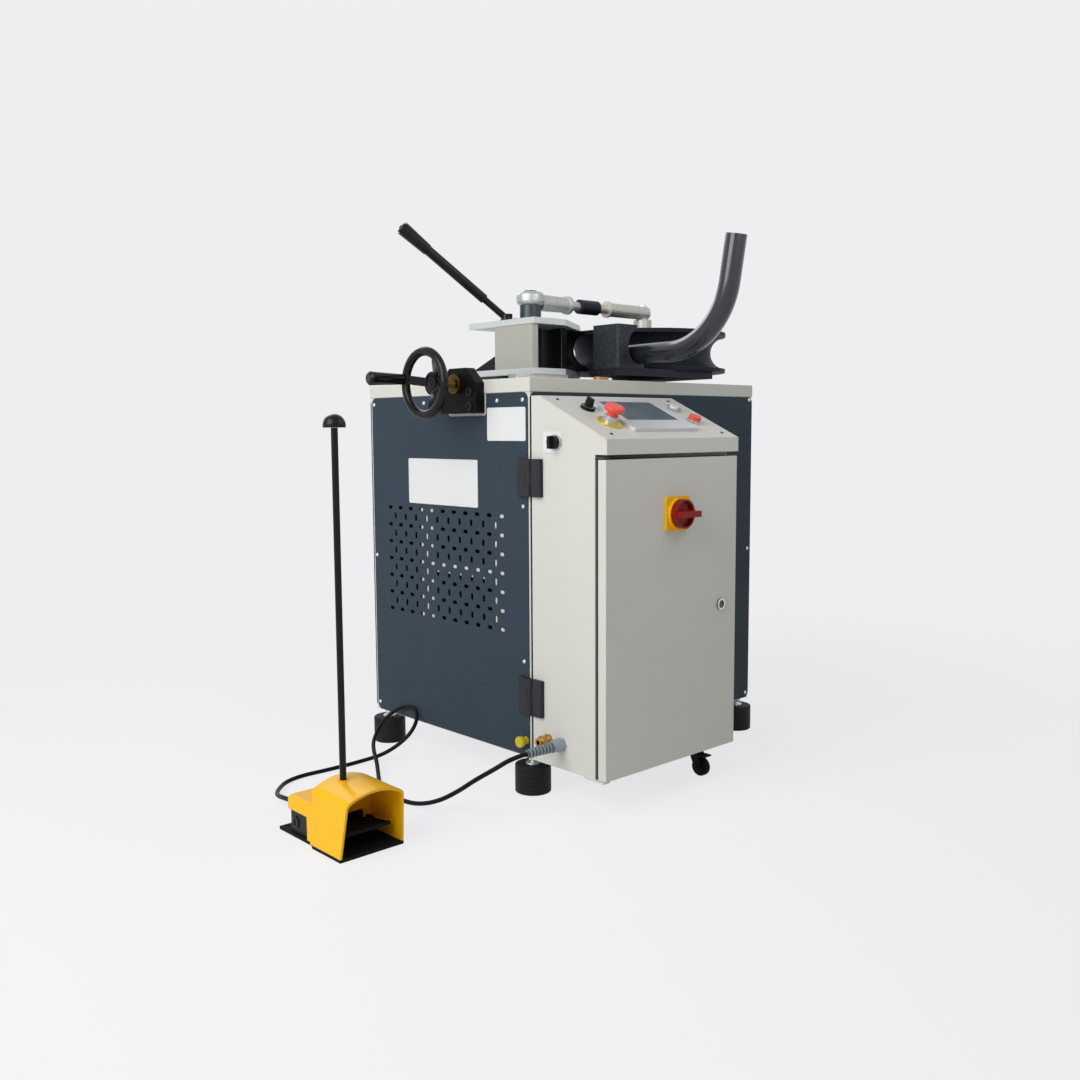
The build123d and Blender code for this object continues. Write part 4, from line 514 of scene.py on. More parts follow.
def mixed(tree, factor, first, second):
    """Mixes two colours, each a colour or a socket."""
    node = tree.nodes.new("ShaderNodeMix")
    node.data_type = "RGBA"
    tree.links.new(factor, node.inputs["Factor"])
    for index, given in zip(MIX_COLOURS, (first, second)):
        socket = node.inputs[index]
        if isinstance(given, bpy.types.NodeSocket):
            tree.links.new(given, socket)
        else:
            socket.default_value = given
    return node.outputs[MIX_RESULT]


def split(tree, vector):
    """The three parts of a place."""
    parts = tree.nodes.new("ShaderNodeSeparateXYZ")
    tree.links.new(vector, parts.inputs["Vector"])
    return parts.outputs["X"], parts.outputs["Y"], parts.outputs["Z"]


def between(tree, value, low, high):
    """One where the value lies between two levels, and nought elsewhere."""
    above = sums(tree, "GREATER_THAN", value, low)
    return sums(tree, "MULTIPLY", above, sums(tree, "LESS_THAN", value, high))


def soft_edges(tree, radius):
    """A normal that rounds sharp edges off."""
    node = tree.nodes.new("ShaderNodeBevel")
    node.samples = EDGE_SAMPLES
    node.inputs["Radius"].default_value = radius
    return node.outputs["Normal"]


def edge_share(tree, normal):
    """One on a sharp edge and nought on a flat face."""
    face = tree.nodes.new("ShaderNodeNewGeometry")
    facing_share = tree.nodes.new("ShaderNodeVectorMath")
    facing_share.operation = "DOT_PRODUCT"
    tree.links.new(normal, facing_share.inputs[0])
    tree.links.new(face.outputs["Normal"], facing_share.inputs[1])
    return spread(tree, facing_share.outputs["Value"], 1.0, 0.0, *EDGE_FACING)


def relief(tree, shader, height, depth, normal):
    """Raises and sinks the surface by depth metres."""
    node = tree.nodes.new("ShaderNodeBump")
    node.inputs["Distance"].default_value = depth
    tree.links.new(height, node.inputs["Height"])
    tree.links.new(normal, node.inputs["Normal"])
    tree.links.new(node.outputs["Normal"], shader.inputs["Normal"])


def finish(
    name,
    colour,
    other,
    grain,
    depth,
    rough,
    metallic=0.0,
    coat=0.0,
    stretch=EVEN,
    worn=None,
    edge=EDGE_R,
    cloud=CLOUD,
    pattern=None,
    tint=None,
    shine=SHINE,
):
    """A material with fine grain, broad stains, softened edges and, where given, worn edges.

    Grain, depth and edge are in metres, and rough is the range of the roughness.
    """
    made, tree, shader = start(name, metallic, coat, shine)
    spot = place(tree, stretch)
    fine = noise(tree, spot, grain)
    broad = noise(tree, place(tree), CLOUD_SIZE, BROAD_DETAIL)
    tone = mixed(tree, spread(tree, fine, 0.0, 1.0), shade(colour), shade(other))
    tone = mixed(tree, spread(tree, broad, 0.0, cloud), tone, shade(colour, DARKER))
    if tint is not None:
        tone = tint(tree, tone)
    normal = soft_edges(tree, edge)
    if worn is not None:
        patches = noise(tree, place(tree), WEAR_SIZE, BROAD_DETAIL)
        rubbed = sums(tree, "MULTIPLY", edge_share(tree, normal), spread(tree, patches, *WEAR_SPREAD))
        tone = mixed(tree, rubbed, tone, shade(worn))
    tree.links.new(tone, shader.inputs["Base Color"])
    both = sums(tree, "ADD", sums(tree, "MULTIPLY", fine, HALF), sums(tree, "MULTIPLY", broad, HALF))
    tree.links.new(spread(tree, both, *rough), shader.inputs["Roughness"])
    height = fine if pattern is None else pattern(tree, fine)
    relief(tree, shader, height, depth, normal)
    return made


# Patterns that some finishes add
def turned(at, pitch):
    """Tool marks round an upright axis."""

    def pattern(tree, fine):
        rings = waves(tree, place(tree, shift=(at[0] * MM, at[1] * MM, 0)), pitch, "RINGS", "Z")
        return sums(tree, "ADD", rings, sums(tree, "MULTIPLY", fine, HALF))

    return pattern


def threaded(direction, pitch):
    """Thread grooves along an axis."""

    def pattern(tree, fine):
        return waves(tree, place(tree), pitch, "BANDS", direction)

    return pattern


# Places on the sloped control panel
def slope_out():
    """Outward direction of the sloped panel."""
    slope = math.radians(SLOPE_ANGLE)
    return Vector((0, -math.sin(slope), math.cos(slope)))


def on_slope(across, down, lift=0.0):
    """A place on the sloped panel, from its upper left corner."""
    slope = math.radians(SLOPE_ANGLE)
    along = Vector((0, -math.cos(slope), -math.sin(slope)))
    corner = Vector((SLOPE_LEFT + across, SLOPE_BACK, SLOPE_TOP))
    return corner + along * down + slope_out() * lift


# Paint that changes on one solid
def slope_ring(tree, tone, across, down, low, high, colour):
    """Paints a ring on the sloped panel between two radii."""
    centre = on_slope(across, down) * MM
    spot = place(tree, shift=tuple(centre), turn=(math.radians(-SLOPE_ANGLE), 0, 0))
    x, y, _ = split(tree, spot)
    squares = sums(tree, "ADD", sums(tree, "POWER", x, 2), sums(tree, "POWER", y, 2))
    radius = sums(tree, "SQRT", squares, 0)
    return mixed(tree, between(tree, radius, low * MM, high * MM), tone, shade(colour))


def ring_paint(tree, tone):
    """Yellow ring under the emergency stop and black collar round the selector."""
    tone = slope_ring(tree, tone, ESTOP_ACROSS, ESTOP_DOWN, *ESTOP_RING, LEMON)
    return slope_ring(tree, tone, SELECTOR_ACROSS, SELECTOR_DOWN, *SELECTOR_RING, BLACK)


def painted_inside_shade(tree, tone):
    """Painted shade: the carriage's gusset and web painted near black, where they lie in shadow."""
    x, y, _ = split(tree, place(tree))
    web = sums(tree, "GREATER_THAN", x, WEB_FROM * MM)
    gusset = sums(tree, "GREATER_THAN", y, GUSSET_FROM * MM)
    hidden = sums(tree, "MAXIMUM", web, gusset)
    return mixed(tree, hidden, tone, shade(INSIDE_PAINTED_SHADE))


def flange_painted_shade(tree, tone):
    """Painted shade: darkens the flange over the door towards its left end, where the gap lies in
    shadow.
    """
    x, _, _ = split(tree, place(tree))
    dark = spread(tree, x, 1.0, 0.0, GAP_FADE[0] * MM, GAP_FADE[1] * MM)
    return mixed(tree, dark, tone, shade(GAP_PAINTED_SHADE))


def shell_gap_painted_shade(tree, tone):
    """Painted shade at the end of the gap over the door, on the shell's side wall."""
    _, y, z = split(tree, place(tree))
    ahead = sums(tree, "LESS_THAN", y, GAP_FROM * MM)
    level = between(tree, z, GAP_LEVELS[0] * MM, GAP_LEVELS[1] * MM)
    return mixed(tree, sums(tree, "MULTIPLY", ahead, level), tone, shade(GAP_PAINTED_SHADE))


def lock_core_painted_shade(tree, tone):
    """Painted shade on the core of the door lock, standing in for its recessed key slot."""
    x, _, z = split(tree, place(tree, shift=(LOCK_AT[0] * MM, 0, LOCK_AT[2] * MM)))
    squares = sums(tree, "ADD", sums(tree, "POWER", x, 2), sums(tree, "POWER", z, 2))
    core = sums(tree, "LESS_THAN", squares, (LOCK_CORE_R * MM) ** 2)
    return mixed(tree, core, tone, shade(LOCK_CORE_PAINTED_SHADE))


def brown_journal(tree, tone):
    """Brass-brown colour on the lead screw's journal, outside its bush."""
    x, _, _ = split(tree, place(tree))
    return mixed(tree, sums(tree, "LESS_THAN", x, JOURNAL_FROM * MM), tone, shade(BUSH_OTHER))


def tail_groove_shade(tree, tone):
    """Painted shade in the grooves between the ribs of the gland's tail."""
    x, _, _ = split(tree, place(tree))
    bands = waves(tree, place(tree, shift=(TAIL_WAVE_FROM * MM, 0, 0)), TAIL_PITCH * MM, "BANDS", "X")
    grooves = sums(tree, "SUBTRACT", 1.0, bands)
    deep = sums(tree, "MULTIPLY", grooves, sums(tree, "LESS_THAN", x, TAIL_FROM * MM))
    return mixed(tree, deep, tone, shade(GROOVE_PAINTED_SHADE))


# Values that several finishes share
PAINT = {"grain": 0.0016, "depth": 0.00001, "rough": (0.38, 0.5)}
OUTER_PAINT = {**PAINT, "edge": PAINT_EDGE, "cloud": 0.1, "shine": SATIN}
PLASTIC = {"grain": 0.003, "depth": 0.00001, "rough": (0.3, 0.42), "cloud": 0.1}
GLOSS = {"grain": 0.003, "depth": 0.00003, "rough": (0.16, 0.26), "worn": OXIDE}
FORGED = {"grain": 0.003, "depth": 0.0001, "worn": ZINC_WORN, "edge": CAST_EDGE}

# Finishes
cream = finish("cream_paint", CREAM, CREAM_OTHER, **OUTER_PAINT)
# Cream paint, with painted shade at the end of the gap over the door
shell_paint_with_shade = finish("shell_paint_with_shade", CREAM, CREAM_OTHER, **OUTER_PAINT, tint=shell_gap_painted_shade)
# Cream paint, with painted shade towards the flange's left end
flange_paint_with_shade = finish("flange_paint_with_shade", CREAM, CREAM_OTHER, **PAINT, tint=flange_painted_shade, shine=DULL)
slate = finish(
    "panel_paint",
    SLATE,
    SLATE_OTHER,
    grain=0.003,
    depth=0.0002,
    rough=(0.38, 0.5),
    edge=0.0008,
    shine=DARK,
)
rubber = finish(
    "black_rubber", RUBBER, RUBBER_OTHER, grain=0.003, depth=0.0001, rough=(0.6, 0.8), shine=DARK
)
foot_rubber = finish(
    "foot_rubber",
    RUBBER,
    RUBBER_OTHER,
    grain=0.003,
    depth=0.0006,
    rough=(0.5, 0.7),
    pattern=threaded("Z", FOOT_RIB),
    shine=DULL,
)
cable = finish(
    "cable_rubber", RUBBER, RUBBER_OTHER, grain=0.0015, depth=0.00002, rough=(0.4, 0.55), shine=DARK
)
seal = finish(
    "seal_rubber", SEAL, SEAL_OTHER, grain=0.002, depth=0.00005, rough=(0.6, 0.8), shine=DULL
)
zinc = finish(
    "bright_steel",
    ZINC,
    ZINC_OTHER,
    grain=0.004,
    depth=0.00003,
    rough=(0.3, 0.46),
    metallic=0.85,
    stretch=(0.25, 3, 3),
    worn=ZINC_WORN,
)
# Milled steel, with painted shade on the carriage's web and gusset
milled = finish(
    "milled_steel",
    MILLED,
    MILLED_OTHER,
    grain=0.004,
    depth=0.00002,
    rough=(0.32, 0.48),
    metallic=0.75,
    stretch=(3, 3, 0.2),
    worn=ZINC_WORN,
    tint=painted_inside_shade,
    shine=DULL,
)
cast = finish("cast_steel", CAST, CAST_OTHER, **FORGED, rough=(0.34, 0.5), metallic=0.7)
cast_dull = finish("cast_dull", CAST_DULL, CAST_DULL_OTHER, **FORGED, rough=(0.4, 0.55), metallic=0.65)
hook = finish(
    "hook_steel",
    HOOK,
    HOOK_OTHER,
    grain=0.008,
    depth=0.00006,
    rough=(0.34, 0.5),
    metallic=0.4,
    worn=OXIDE_WORN,
    shine=DULL,
)
post = finish(
    "post_steel",
    POST,
    POST_OTHER,
    grain=0.004,
    depth=0.00004,
    rough=(0.3, 0.45),
    metallic=0.7,
    stretch=(3, 3, 0.3),
    worn=ZINC_OTHER,
)
oxide = finish(
    "black_steel",
    OXIDE,
    OXIDE_OTHER,
    grain=0.006,
    depth=0.00004,
    rough=(0.34, 0.5),
    metallic=0.6,
    worn=OXIDE_WORN,
    shine=DULL,
)
die_oxide = finish(
    "turned_die",
    OXIDE,
    OXIDE_OTHER,
    grain=0.006,
    depth=0.00005,
    rough=(0.4, 0.54),
    worn=OXIDE_WORN,
    edge=BROAD_EDGE,
    pattern=turned((DIE_X, HEAD_Y), DIE_MARKS),
    shine=DIM,
)
roller_oxide = finish(
    "turned_roller",
    ROLLER,
    ROLLER_OTHER,
    grain=0.006,
    depth=0.00005,
    rough=(0.36, 0.5),
    pattern=turned((ROLLER_X, HEAD_Y), ROLLER_MARKS),
    shine=DARK,
)
bracket_black = finish(
    "bracket_black",
    BLACK,
    BLACK_OTHER,
    grain=0.002,
    depth=0.0001,
    rough=(0.38, 0.54),
    worn=OXIDE,
    edge=BROAD_EDGE,
    shine=DARK,
)
hinge = finish(
    "hinge_black",
    HINGE,
    HINGE_OTHER,
    grain=0.003,
    depth=0.0002,
    rough=(0.36, 0.5),
    edge=BROAD_EDGE,
    shine=DULL,
)
pipe = finish(
    "pipe_steel",
    PIPE,
    PIPE_OTHER,
    grain=0.01,
    depth=0.00002,
    rough=(0.26, 0.34),
    metallic=0.2,
    coat=1.0,
    worn=ZINC_OTHER,
    shine=DULL,
)
# Chrome, with painted shade on the lock's core
chrome = finish(
    "lock_chrome",
    CHROME,
    CHROME_OTHER,
    grain=0.002,
    depth=0.00002,
    rough=(0.12, 0.22),
    metallic=0.9,
    worn=ZINC_WORN,
    tint=lock_core_painted_shade,
)
motor = finish("motor_casting", MOTOR, MOTOR_OTHER, grain=0.002, depth=0.0001, rough=(0.45, 0.6))
brass = finish(
    "brass",
    BRASS,
    BRASS_OTHER,
    grain=0.003,
    depth=0.00003,
    rough=(0.25, 0.4),
    metallic=0.95,
    worn=BRONZE,
)
bush = finish(
    "bush_brass",
    BUSH,
    BUSH_OTHER,
    grain=0.004,
    depth=0.00005,
    rough=(0.2, 0.32),
    metallic=0.9,
    worn=BRASS,
)
bronze = finish(
    "bronze", BRONZE, BRONZE_OTHER, grain=0.003, depth=0.00003, rough=(0.3, 0.45), metallic=0.7
)
silver = finish(
    "bezel_metal",
    BEZEL,
    BEZEL_OTHER,
    grain=0.002,
    depth=0.00001,
    rough=(0.28, 0.4),
    metallic=0.15,
    cloud=0.1,
)
ring_metal = finish(
    "ring_metal",
    SILVER,
    SILVER_OTHER,
    grain=0.002,
    depth=0.00001,
    rough=(0.2, 0.32),
    metallic=0.6,
    tint=ring_paint,
)
yellow = finish(
    "yellow_plastic",
    YELLOW,
    YELLOW_OTHER,
    grain=0.004,
    depth=0.00002,
    rough=(0.24, 0.34),
    cloud=0.06,
    edge=BROAD_EDGE,
    shine=DULL,
)
lemon = finish("lemon_plastic", LEMON, LEMON_OTHER, **PLASTIC, shine=DULL)
red = finish("red_plastic", RED, RED_OTHER, **PLASTIC)
red_deep = finish("red_switch", RED_DEEP, RED_DEEP_OTHER, **PLASTIC, shine=DULL)
white = finish(
    "white_plastic",
    WHITE,
    WHITE_OTHER,
    grain=0.004,
    depth=0.00001,
    rough=(0.36, 0.48),
    cloud=0.08,
    shine=SATIN,
)
black = finish(
    "black_plastic", BLACK, BLACK_OTHER, grain=0.002, depth=0.00003, rough=(0.34, 0.5), shine=DULL
)
gloss_black = finish("black_paint", BLACK, BLACK_OTHER, **GLOSS, shine=DULL)
wheel_black = finish("wheel_paint", BLACK, BLACK_OTHER, **GLOSS, coat=0.25, shine=DARK)
# Grey plastic, with painted shade in the grooves of the gland's tail
grey_blue = finish(
    "grey_plastic",
    GREY_BLUE,
    GREY_BLUE_OTHER,
    grain=0.002,
    depth=0.00002,
    rough=(0.42, 0.56),
    tint=tail_groove_shade,
    shine=SATIN,
)
# Glass whose colour carries a painted reflection of the surroundings
glass = finish(
    "screen_glass",
    GLASS_WITH_REFLECTION,
    GLASS_WITH_REFLECTION_OTHER,
    grain=0.05,
    depth=0.000001,
    rough=(0.08, 0.12),
    coat=0.2,
    cloud=0.4,
)
lead_thread = finish(
    "screw_thread",
    ZINC_OTHER,
    MOTOR,
    grain=0.004,
    depth=0.0008,
    rough=(0.3, 0.42),
    metallic=0.85,
    pattern=threaded("X", LEAD_PITCH),
    tint=brown_journal,
)
stud_thread = finish(
    "stud_thread",
    ZINC,
    ZINC_OTHER,
    grain=0.004,
    depth=0.0004,
    rough=(0.3, 0.42),
    metallic=0.85,
    pattern=threaded("Z", STUD_PITCH),
)

# Which solid takes which finish
FINISHES = {
    cream: "frame_tubes base_tray table_plate control_panel cabinet_door electrical_tray",
    shell_paint_with_shade: "cabinet_shell",
    slate: "left_panel front_panel right_panel rear_panel",
    rubber: "pedal_base pedal_treadle caster_wheel",
    foot_rubber: "rubber_feet",
    cable: "pedal_cable",
    zinc: "carriage_bottom_plate carriage_top_plate guide_rails roller_pin drive_spindle",
    chrome: "door_lock",
    milled: "carriage_side_plate",
    cast: "tie_rod_end spindle_bearing",
    cast_dull: "tie_rod_fixed",
    post: "anchor_post",
    hook: "hook_block",
    oxide: "drive_plate tie_rod_sleeve screw_nut",
    die_oxide: "bending_die",
    roller_oxide: "counter_roller",
    bracket_black: "screw_bracket caster_fork",
    hinge: "hinge_frame_leaves hinge_cabinet_leaves",
    pipe: "bent_pipe",
    motor: "gear_motor",
    bush: "screw_bush",
    brass: "brass_gland",
    silver: "touch_screen",
    ring_metal: "control_bezels",
    yellow: "pedal_hood main_switch_plate",
    lemon: "yellow_plug",
    red: "estop_button stop_button",
    red_deep: "main_switch_knob",
    white: "start_button",
    black: "pedal_switch_box panel_selector side_selector",
    gloss_black: "pedal_pole",
    wheel_black: "clamp_lever handwheel handwheel_grip",
    grey_blue: "cable_gland",
    lead_thread: "lead_screw",
    stud_thread: "foot_studs",
}
for made, names in FINISHES.items():
    for name in names.split():
        mesh = nodes[name].data
        mesh.materials.clear()
        mesh.materials.append(made)


# Helpers for pairs of ends
def middle(ends):
    """Halfway between two ends."""
    return (ends[0] + ends[1]) / 2


def span(ends):
    """Distance between two ends."""
    return ends[1] - ends[0]


# Mesh helpers
def facing(at, normal, up=UP):
    """A place whose z axis is the surface's normal and whose y axis points up."""
    out = Vector(normal).normalized()
    side = Vector(up).cross(out).normalized()
    high = out.cross(side)
    turn = Matrix((side, high, out)).transposed().to_4x4()
    return Matrix.Translation(Vector(at) * MM) @ turn


def skin(bm, at, rings, closed=True):
    """Joins rings of local points, all of one length, and closes both ends where asked."""
    loops = [[bm.verts.new(at @ (Vector(point) * MM)) for point in ring] for ring in rings]
    count = len(loops[0])
    for low, high in zip(loops, loops[1:]):
        for step in range(count):
            ahead = (step + 1) % count
            bm.faces.new((low[step], low[ahead], high[ahead], high[step]))
    if closed:
        bm.faces.new(list(reversed(loops[0])))
        bm.faces.new(loops[-1])
    else:
        bmesh.ops.remove_doubles(bm, verts=loops[0] + loops[-1], dist=MERGE * MM)


def ring(radius, height, hexed=False):
    """A round or six-sided ring about the local z axis."""
    points = []
    for step in range(ROUND_SIDES):
        angle = 2 * math.pi * step / ROUND_SIDES
        reach = radius
        if hexed:
            off = angle % (math.pi / 3) - math.pi / 6
            reach = radius * math.cos(math.pi / 6) / math.cos(off)
        points.append((reach * math.cos(angle), reach * math.sin(angle), height))
    return points


def screw_head(bm, at, radius, height, profile, socket):
    """A turned head with a six-sided socket."""
    rings = [ring(radius * wide, height * tall) for wide, tall in profile]
    rings += [ring(radius * wide, height * tall, True) for wide, tall in socket]
    skin(bm, at, rings)


def button_screw(bm, at, radius, height):
    """A domed screw head."""
    screw_head(bm, at, radius, height, BUTTON_PROFILE, BUTTON_SOCKET)


def cap_bolt(bm, at, radius, height):
    """A flat bolt head."""
    screw_head(bm, at, radius, height, CAP_PROFILE, CAP_SOCKET)


def outline(width, tall, corner, level):
    """A rectangle with rounded corners."""
    points = []
    for turn, (side, end) in enumerate(((1, 1), (-1, 1), (-1, -1), (1, -1))):
        for step in range(CORNER_STEPS + 1):
            angle = math.pi / 2 * (turn + step / CORNER_STEPS)
            across = side * (width / 2 - corner) + corner * math.cos(angle)
            along = end * (tall / 2 - corner) + corner * math.sin(angle)
            points.append((across, along, level))
    return points


def bare_plate(bm, at, width, tall, thick, corner, rim=0.0, sink=0.0):
    """A thin plate with softened edges and, where given, a raised rim."""
    edge = min(PLATE_EDGE, thick / 2)
    rings = [
        outline(width, tall, corner, 0),
        outline(width, tall, corner, thick - edge),
        outline(width - 2 * edge, tall - 2 * edge, corner - edge, thick),
    ]
    if rim:
        inner = corner - rim if corner > rim + sink else sink
        rings.append(outline(width - 2 * rim, tall - 2 * rim, inner, thick))
        rings.append(outline(width - 2 * rim - sink, tall - 2 * rim - sink, inner, thick - sink))
    skin(bm, at, rings)


def add(name, bm, body, material):
    """Makes the piece, puts its finish on and lets it ride on a body."""
    bmesh.ops.recalc_face_normals(bm, faces=bm.faces)
    mesh = bpy.data.meshes.new(name)
    bm.to_mesh(mesh)
    bm.free()
    mesh.shade_smooth()
    mesh.set_sharp_from_angle(angle=math.radians(SHARP_ANGLE))
    mesh.materials.append(material)
    piece = bpy.data.objects.new(name, mesh)
    scene.collection.objects.link(piece)
    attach(piece, body)


# Foot switch cable
def spline(name, bevel):
    """The cable's course as a mesh, round where it has a bevel."""
    curve = bpy.data.curves.new(name, "CURVE")
    curve.dimensions = "3D"
    curve.resolution_u = CABLE_STEPS
    curve.bevel_depth = bevel
    curve.bevel_resolution = CABLE_SIDES
    curve.use_fill_caps = bevel > 0
    line = curve.splines.new("NURBS")
    line.points.add(len(CABLE_ROUTE) - 1)
    for point, spot in zip(line.points, CABLE_ROUTE):
        point.co = (spot[0] * MM, spot[1] * MM, spot[2] * MM, 1.0)
    line.order_u = CABLE_ORDER
    line.use_endpoint_u = True
    made = bpy.data.objects.new(name, curve)
    scene.collection.objects.link(made)
    bpy.context.view_layer.update()
    mesh = bpy.data.meshes.new_from_object(made)
    bpy.data.objects.remove(made)
    return mesh


path = [tuple(vertex.co) for vertex in spline("cable_line", 0.0).vertices]
cord_mesh = spline("foot_switch_cord", CABLE_D * MM / 2)
cord_mesh.shade_smooth()
cord_mesh.materials.append(cable)
cord = bpy.data.objects.new("foot_switch_cord", cord_mesh)
scene.collection.objects.link(cord)
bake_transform(cord)
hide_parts("pedal_cable")

# Screws of the left panel
bm = bmesh.new()
for across, level in LEFT_SCREWS:
    button_screw(bm, facing((PANEL_LEFT, across, level), TO_LEFT), SCREW_R, SCREW_H)
add("left_panel_screws", bm, "base", zinc)


# Screws of the other panels, along their edges
def edge_screws(node, normal, columns=(0, 1)):
    """Three rows of screws, in the first, the second or both columns."""
    low, high = (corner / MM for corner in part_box(node))
    if normal[0]:
        face = high.x if normal[0] > 0 else low.x
        places = (low.y + SCREW_INSET, high.y - SCREW_INSET)
    else:
        face = high.y if normal[1] > 0 else low.y
        places = (low.x + SCREW_INSET, high.x - SCREW_INSET)
    ends = (low.z + SCREW_INSET, high.z - SCREW_INSET / 2)
    bm = bmesh.new()
    for level in (ends[0], middle(ends), ends[1]):
        for column in columns:
            across = places[column]
            spot = (face, across, level) if normal[0] else (across, face, level)
            button_screw(bm, facing(spot, normal), SCREW_R, SCREW_H)
    add(node + "_screws", bm, "base", zinc)


edge_screws("right_panel", TO_RIGHT)
edge_screws("rear_panel", TO_BACK)
edge_screws("front_panel", TO_FRONT, (1,))

# Bolts of the screw bracket
bm = bmesh.new()
for level in BOLT_LEVELS:
    cap_bolt(bm, facing((BRACKET_FACE, HEAD_Y - BOLT_OFF, level), TO_LEFT), BOLT_R, BOLT_H)
add("bracket_bolts", bm, "base", oxide)

# Screws of the sloped control panel
bm = bmesh.new()
for across, down in SLOPE_SCREWS:
    button_screw(bm, facing(on_slope(across, down), slope_out()), SLOPE_SCREW_R, SLOPE_SCREW_H)
add("control_panel_screws", bm, "cabinet", oxide)


# Bare plates
def side_plate(name, across, level, thick, body, rim=0.0, sink=0.0):
    """A bare white plate on the left side."""
    bm = bmesh.new()
    at = facing((PANEL_LEFT, middle(across), middle(level)), TO_LEFT)
    bare_plate(bm, at, span(across), span(level), thick, PLATE_CORNER, rim, sink)
    add(name, bm, body, white)


side_plate("sign_plate", SIGN_Y, SIGN_Z, SIGN_T, "base", SIGN_RIM, SIGN_SINK)
side_plate("note_plate", NOTE_Y, NOTE_Z, NOTE_T, "base")
side_plate("selector_plate", SELECTOR_Y, SELECTOR_Z, NOTE_T, "cabinet")

# Touch screen glass
bm = bmesh.new()
glass_at = facing(on_slope(GLASS_ACROSS, GLASS_DOWN, GLASS_FLOOR), slope_out())
bare_plate(bm, glass_at, GLASS_W, GLASS_H, GLASS_T, GLASS_CORNER)
add("screen_glass", bm, "cabinet", glass)

# Bronze strip on the table
bm = bmesh.new()
strip_at = facing((*STRIP_AT, TABLE_TOP), UP, TO_BACK)
bare_plate(bm, strip_at, STRIP_L, STRIP_W, STRIP_T, PLATE_CORNER)
add("bronze_strip", bm, "base", bronze)

# Seal round the cabinet's front
bm = bmesh.new()
seal_at = facing((middle(SEAL_X), SEAL_FACE, middle(SEAL_Z)), TO_FRONT)
seal_w = span(SEAL_X)
seal_h = span(SEAL_Z)
seal_rings = [
    outline(seal_w - 2 * SEAL_W, seal_h - 2 * SEAL_W, SEAL_CORNER, 0),
    outline(seal_w, seal_h, SEAL_CORNER, 0),
    outline(seal_w, seal_h, SEAL_CORNER, SEAL_T * SEAL_SHOULDER),
    outline(seal_w - SEAL_W / 2, seal_h - SEAL_W / 2, SEAL_CORNER, SEAL_T),
    outline(seal_w - 2 * SEAL_W, seal_h - 2 * SEAL_W, SEAL_CORNER, SEAL_T * SEAL_SHOULDER),
]
skin(bm, seal_at, seal_rings + seal_rings[:1], False)
add("cabinet_seal", bm, "cabinet", seal)

# Treads on the foot switch's treadle
tilt = math.radians(TREADLE_TILT)
tread_out = Vector((0, math.sin(tilt), math.cos(tilt)))
tread_way = Vector((0, -math.cos(tilt), math.sin(tilt)))
bm = bmesh.new()
for reach in TREADS:
    spot = Vector((PEDAL_X, *TREADLE_AT)) + tread_way * reach + tread_out * TREADLE_T
    bare_plate(bm, facing(spot, tread_out, -tread_way), TREAD_L, TREAD_W, TREAD_T, TREAD_CORNER)
add("treadle_treads", bm, "treadle", rubber)

# Flange over the cabinet's door
bm = bmesh.new()
flange_at = facing((middle(FLANGE_X), SEAL_FACE, middle(FLANGE_Z)), TO_FRONT)
bare_plate(bm, flange_at, span(FLANGE_X), span(FLANGE_Z), FLANGE_T, FLANGE_CORNER)
add("cabinet_flange", bm, "cabinet", flange_paint_with_shade)


# Flat bars behind the left panel
def flat_bar(bm, across, level):
    """One bar between two ends across and two levels."""
    at = facing((BAR_BACK, middle(across), middle(level)), TO_LEFT)
    bare_plate(bm, at, span(across), span(level), BAR_T, BAR_CORNER)


bm = bmesh.new()
for across in BARS_Y:
    flat_bar(bm, across, BAR_ENDS)
flat_bar(bm, (BARS_Y[1][1], BARS_Y[0][0]), BAR_ACROSS_Z)
add("panel_bars", bm, "base", cream)

# Screws of the carriage's top plate
bm = bmesh.new()
for across, along in PLATE_SCREWS:
    cap_bolt(bm, facing((across, along, PLATE_TOP), UP, TO_BACK), PLATE_SCREW_R, PLATE_SCREW_H)
add("carriage_screws", bm, "carriage", oxide)

# Ends of the handwheel's grip, the handwheel's hub and the clamp lever
bm = bmesh.new()
cap_bolt(bm, facing((GRIP_END, *GRIP_AT), TO_LEFT), GRIP_SCREW_R, GRIP_SCREW_H)
add("grip_end_screw", bm, "grip", post)
bm = bmesh.new()
cap_bolt(bm, facing((HUB_END, HEAD_Y, SCREW_LEVEL), TO_LEFT), HUB_SCREW_R, HUB_SCREW_H)
add("hub_screw", bm, "wheel", oxide)
bm = bmesh.new()
lever_end = Vector(LEVER_AT) + Vector(LEVER_WAY) * LEVER_L
button_screw(bm, facing(lever_end, LEVER_WAY), LEVER_CAP_R, LEVER_CAP_H)
add("lever_end_cap", bm, "lever", gloss_black)

# Spacer under the tie rod
bm = bmesh.new()
spacer_at = facing((DIE_X, HEAD_Y, SPACER_LOW), UP, TO_BACK)
spacer_rings = [
    ring(SPACER_BORE, 0),
    ring(SPACER_R - SPACER_EDGE, 0),
    ring(SPACER_R, SPACER_EDGE),
    ring(SPACER_R, SPACER_H - SPACER_EDGE),
    ring(SPACER_R - SPACER_EDGE, SPACER_H),
    ring(SPACER_BORE, SPACER_H),
]
skin(bm, spacer_at, spacer_rings + spacer_rings[:1], False)
add("spindle_spacer", bm, "die", cast_dull)

# Rim of the door lock
bm = bmesh.new()
rim_rings = [
    ring(LOCK_RIM_BORE, 0),
    ring(LOCK_RIM_R, 0),
    ring(LOCK_RIM_R, LOCK_RIM_H / 2),
    ring((LOCK_RIM_R + LOCK_RIM_BORE) / 2, LOCK_RIM_H),
    ring(LOCK_RIM_BORE, LOCK_RIM_H / 2),
]
skin(bm, facing(LOCK_AT, TO_FRONT), rim_rings + rim_rings[:1], False)
add("lock_rim", bm, "lock", zinc)

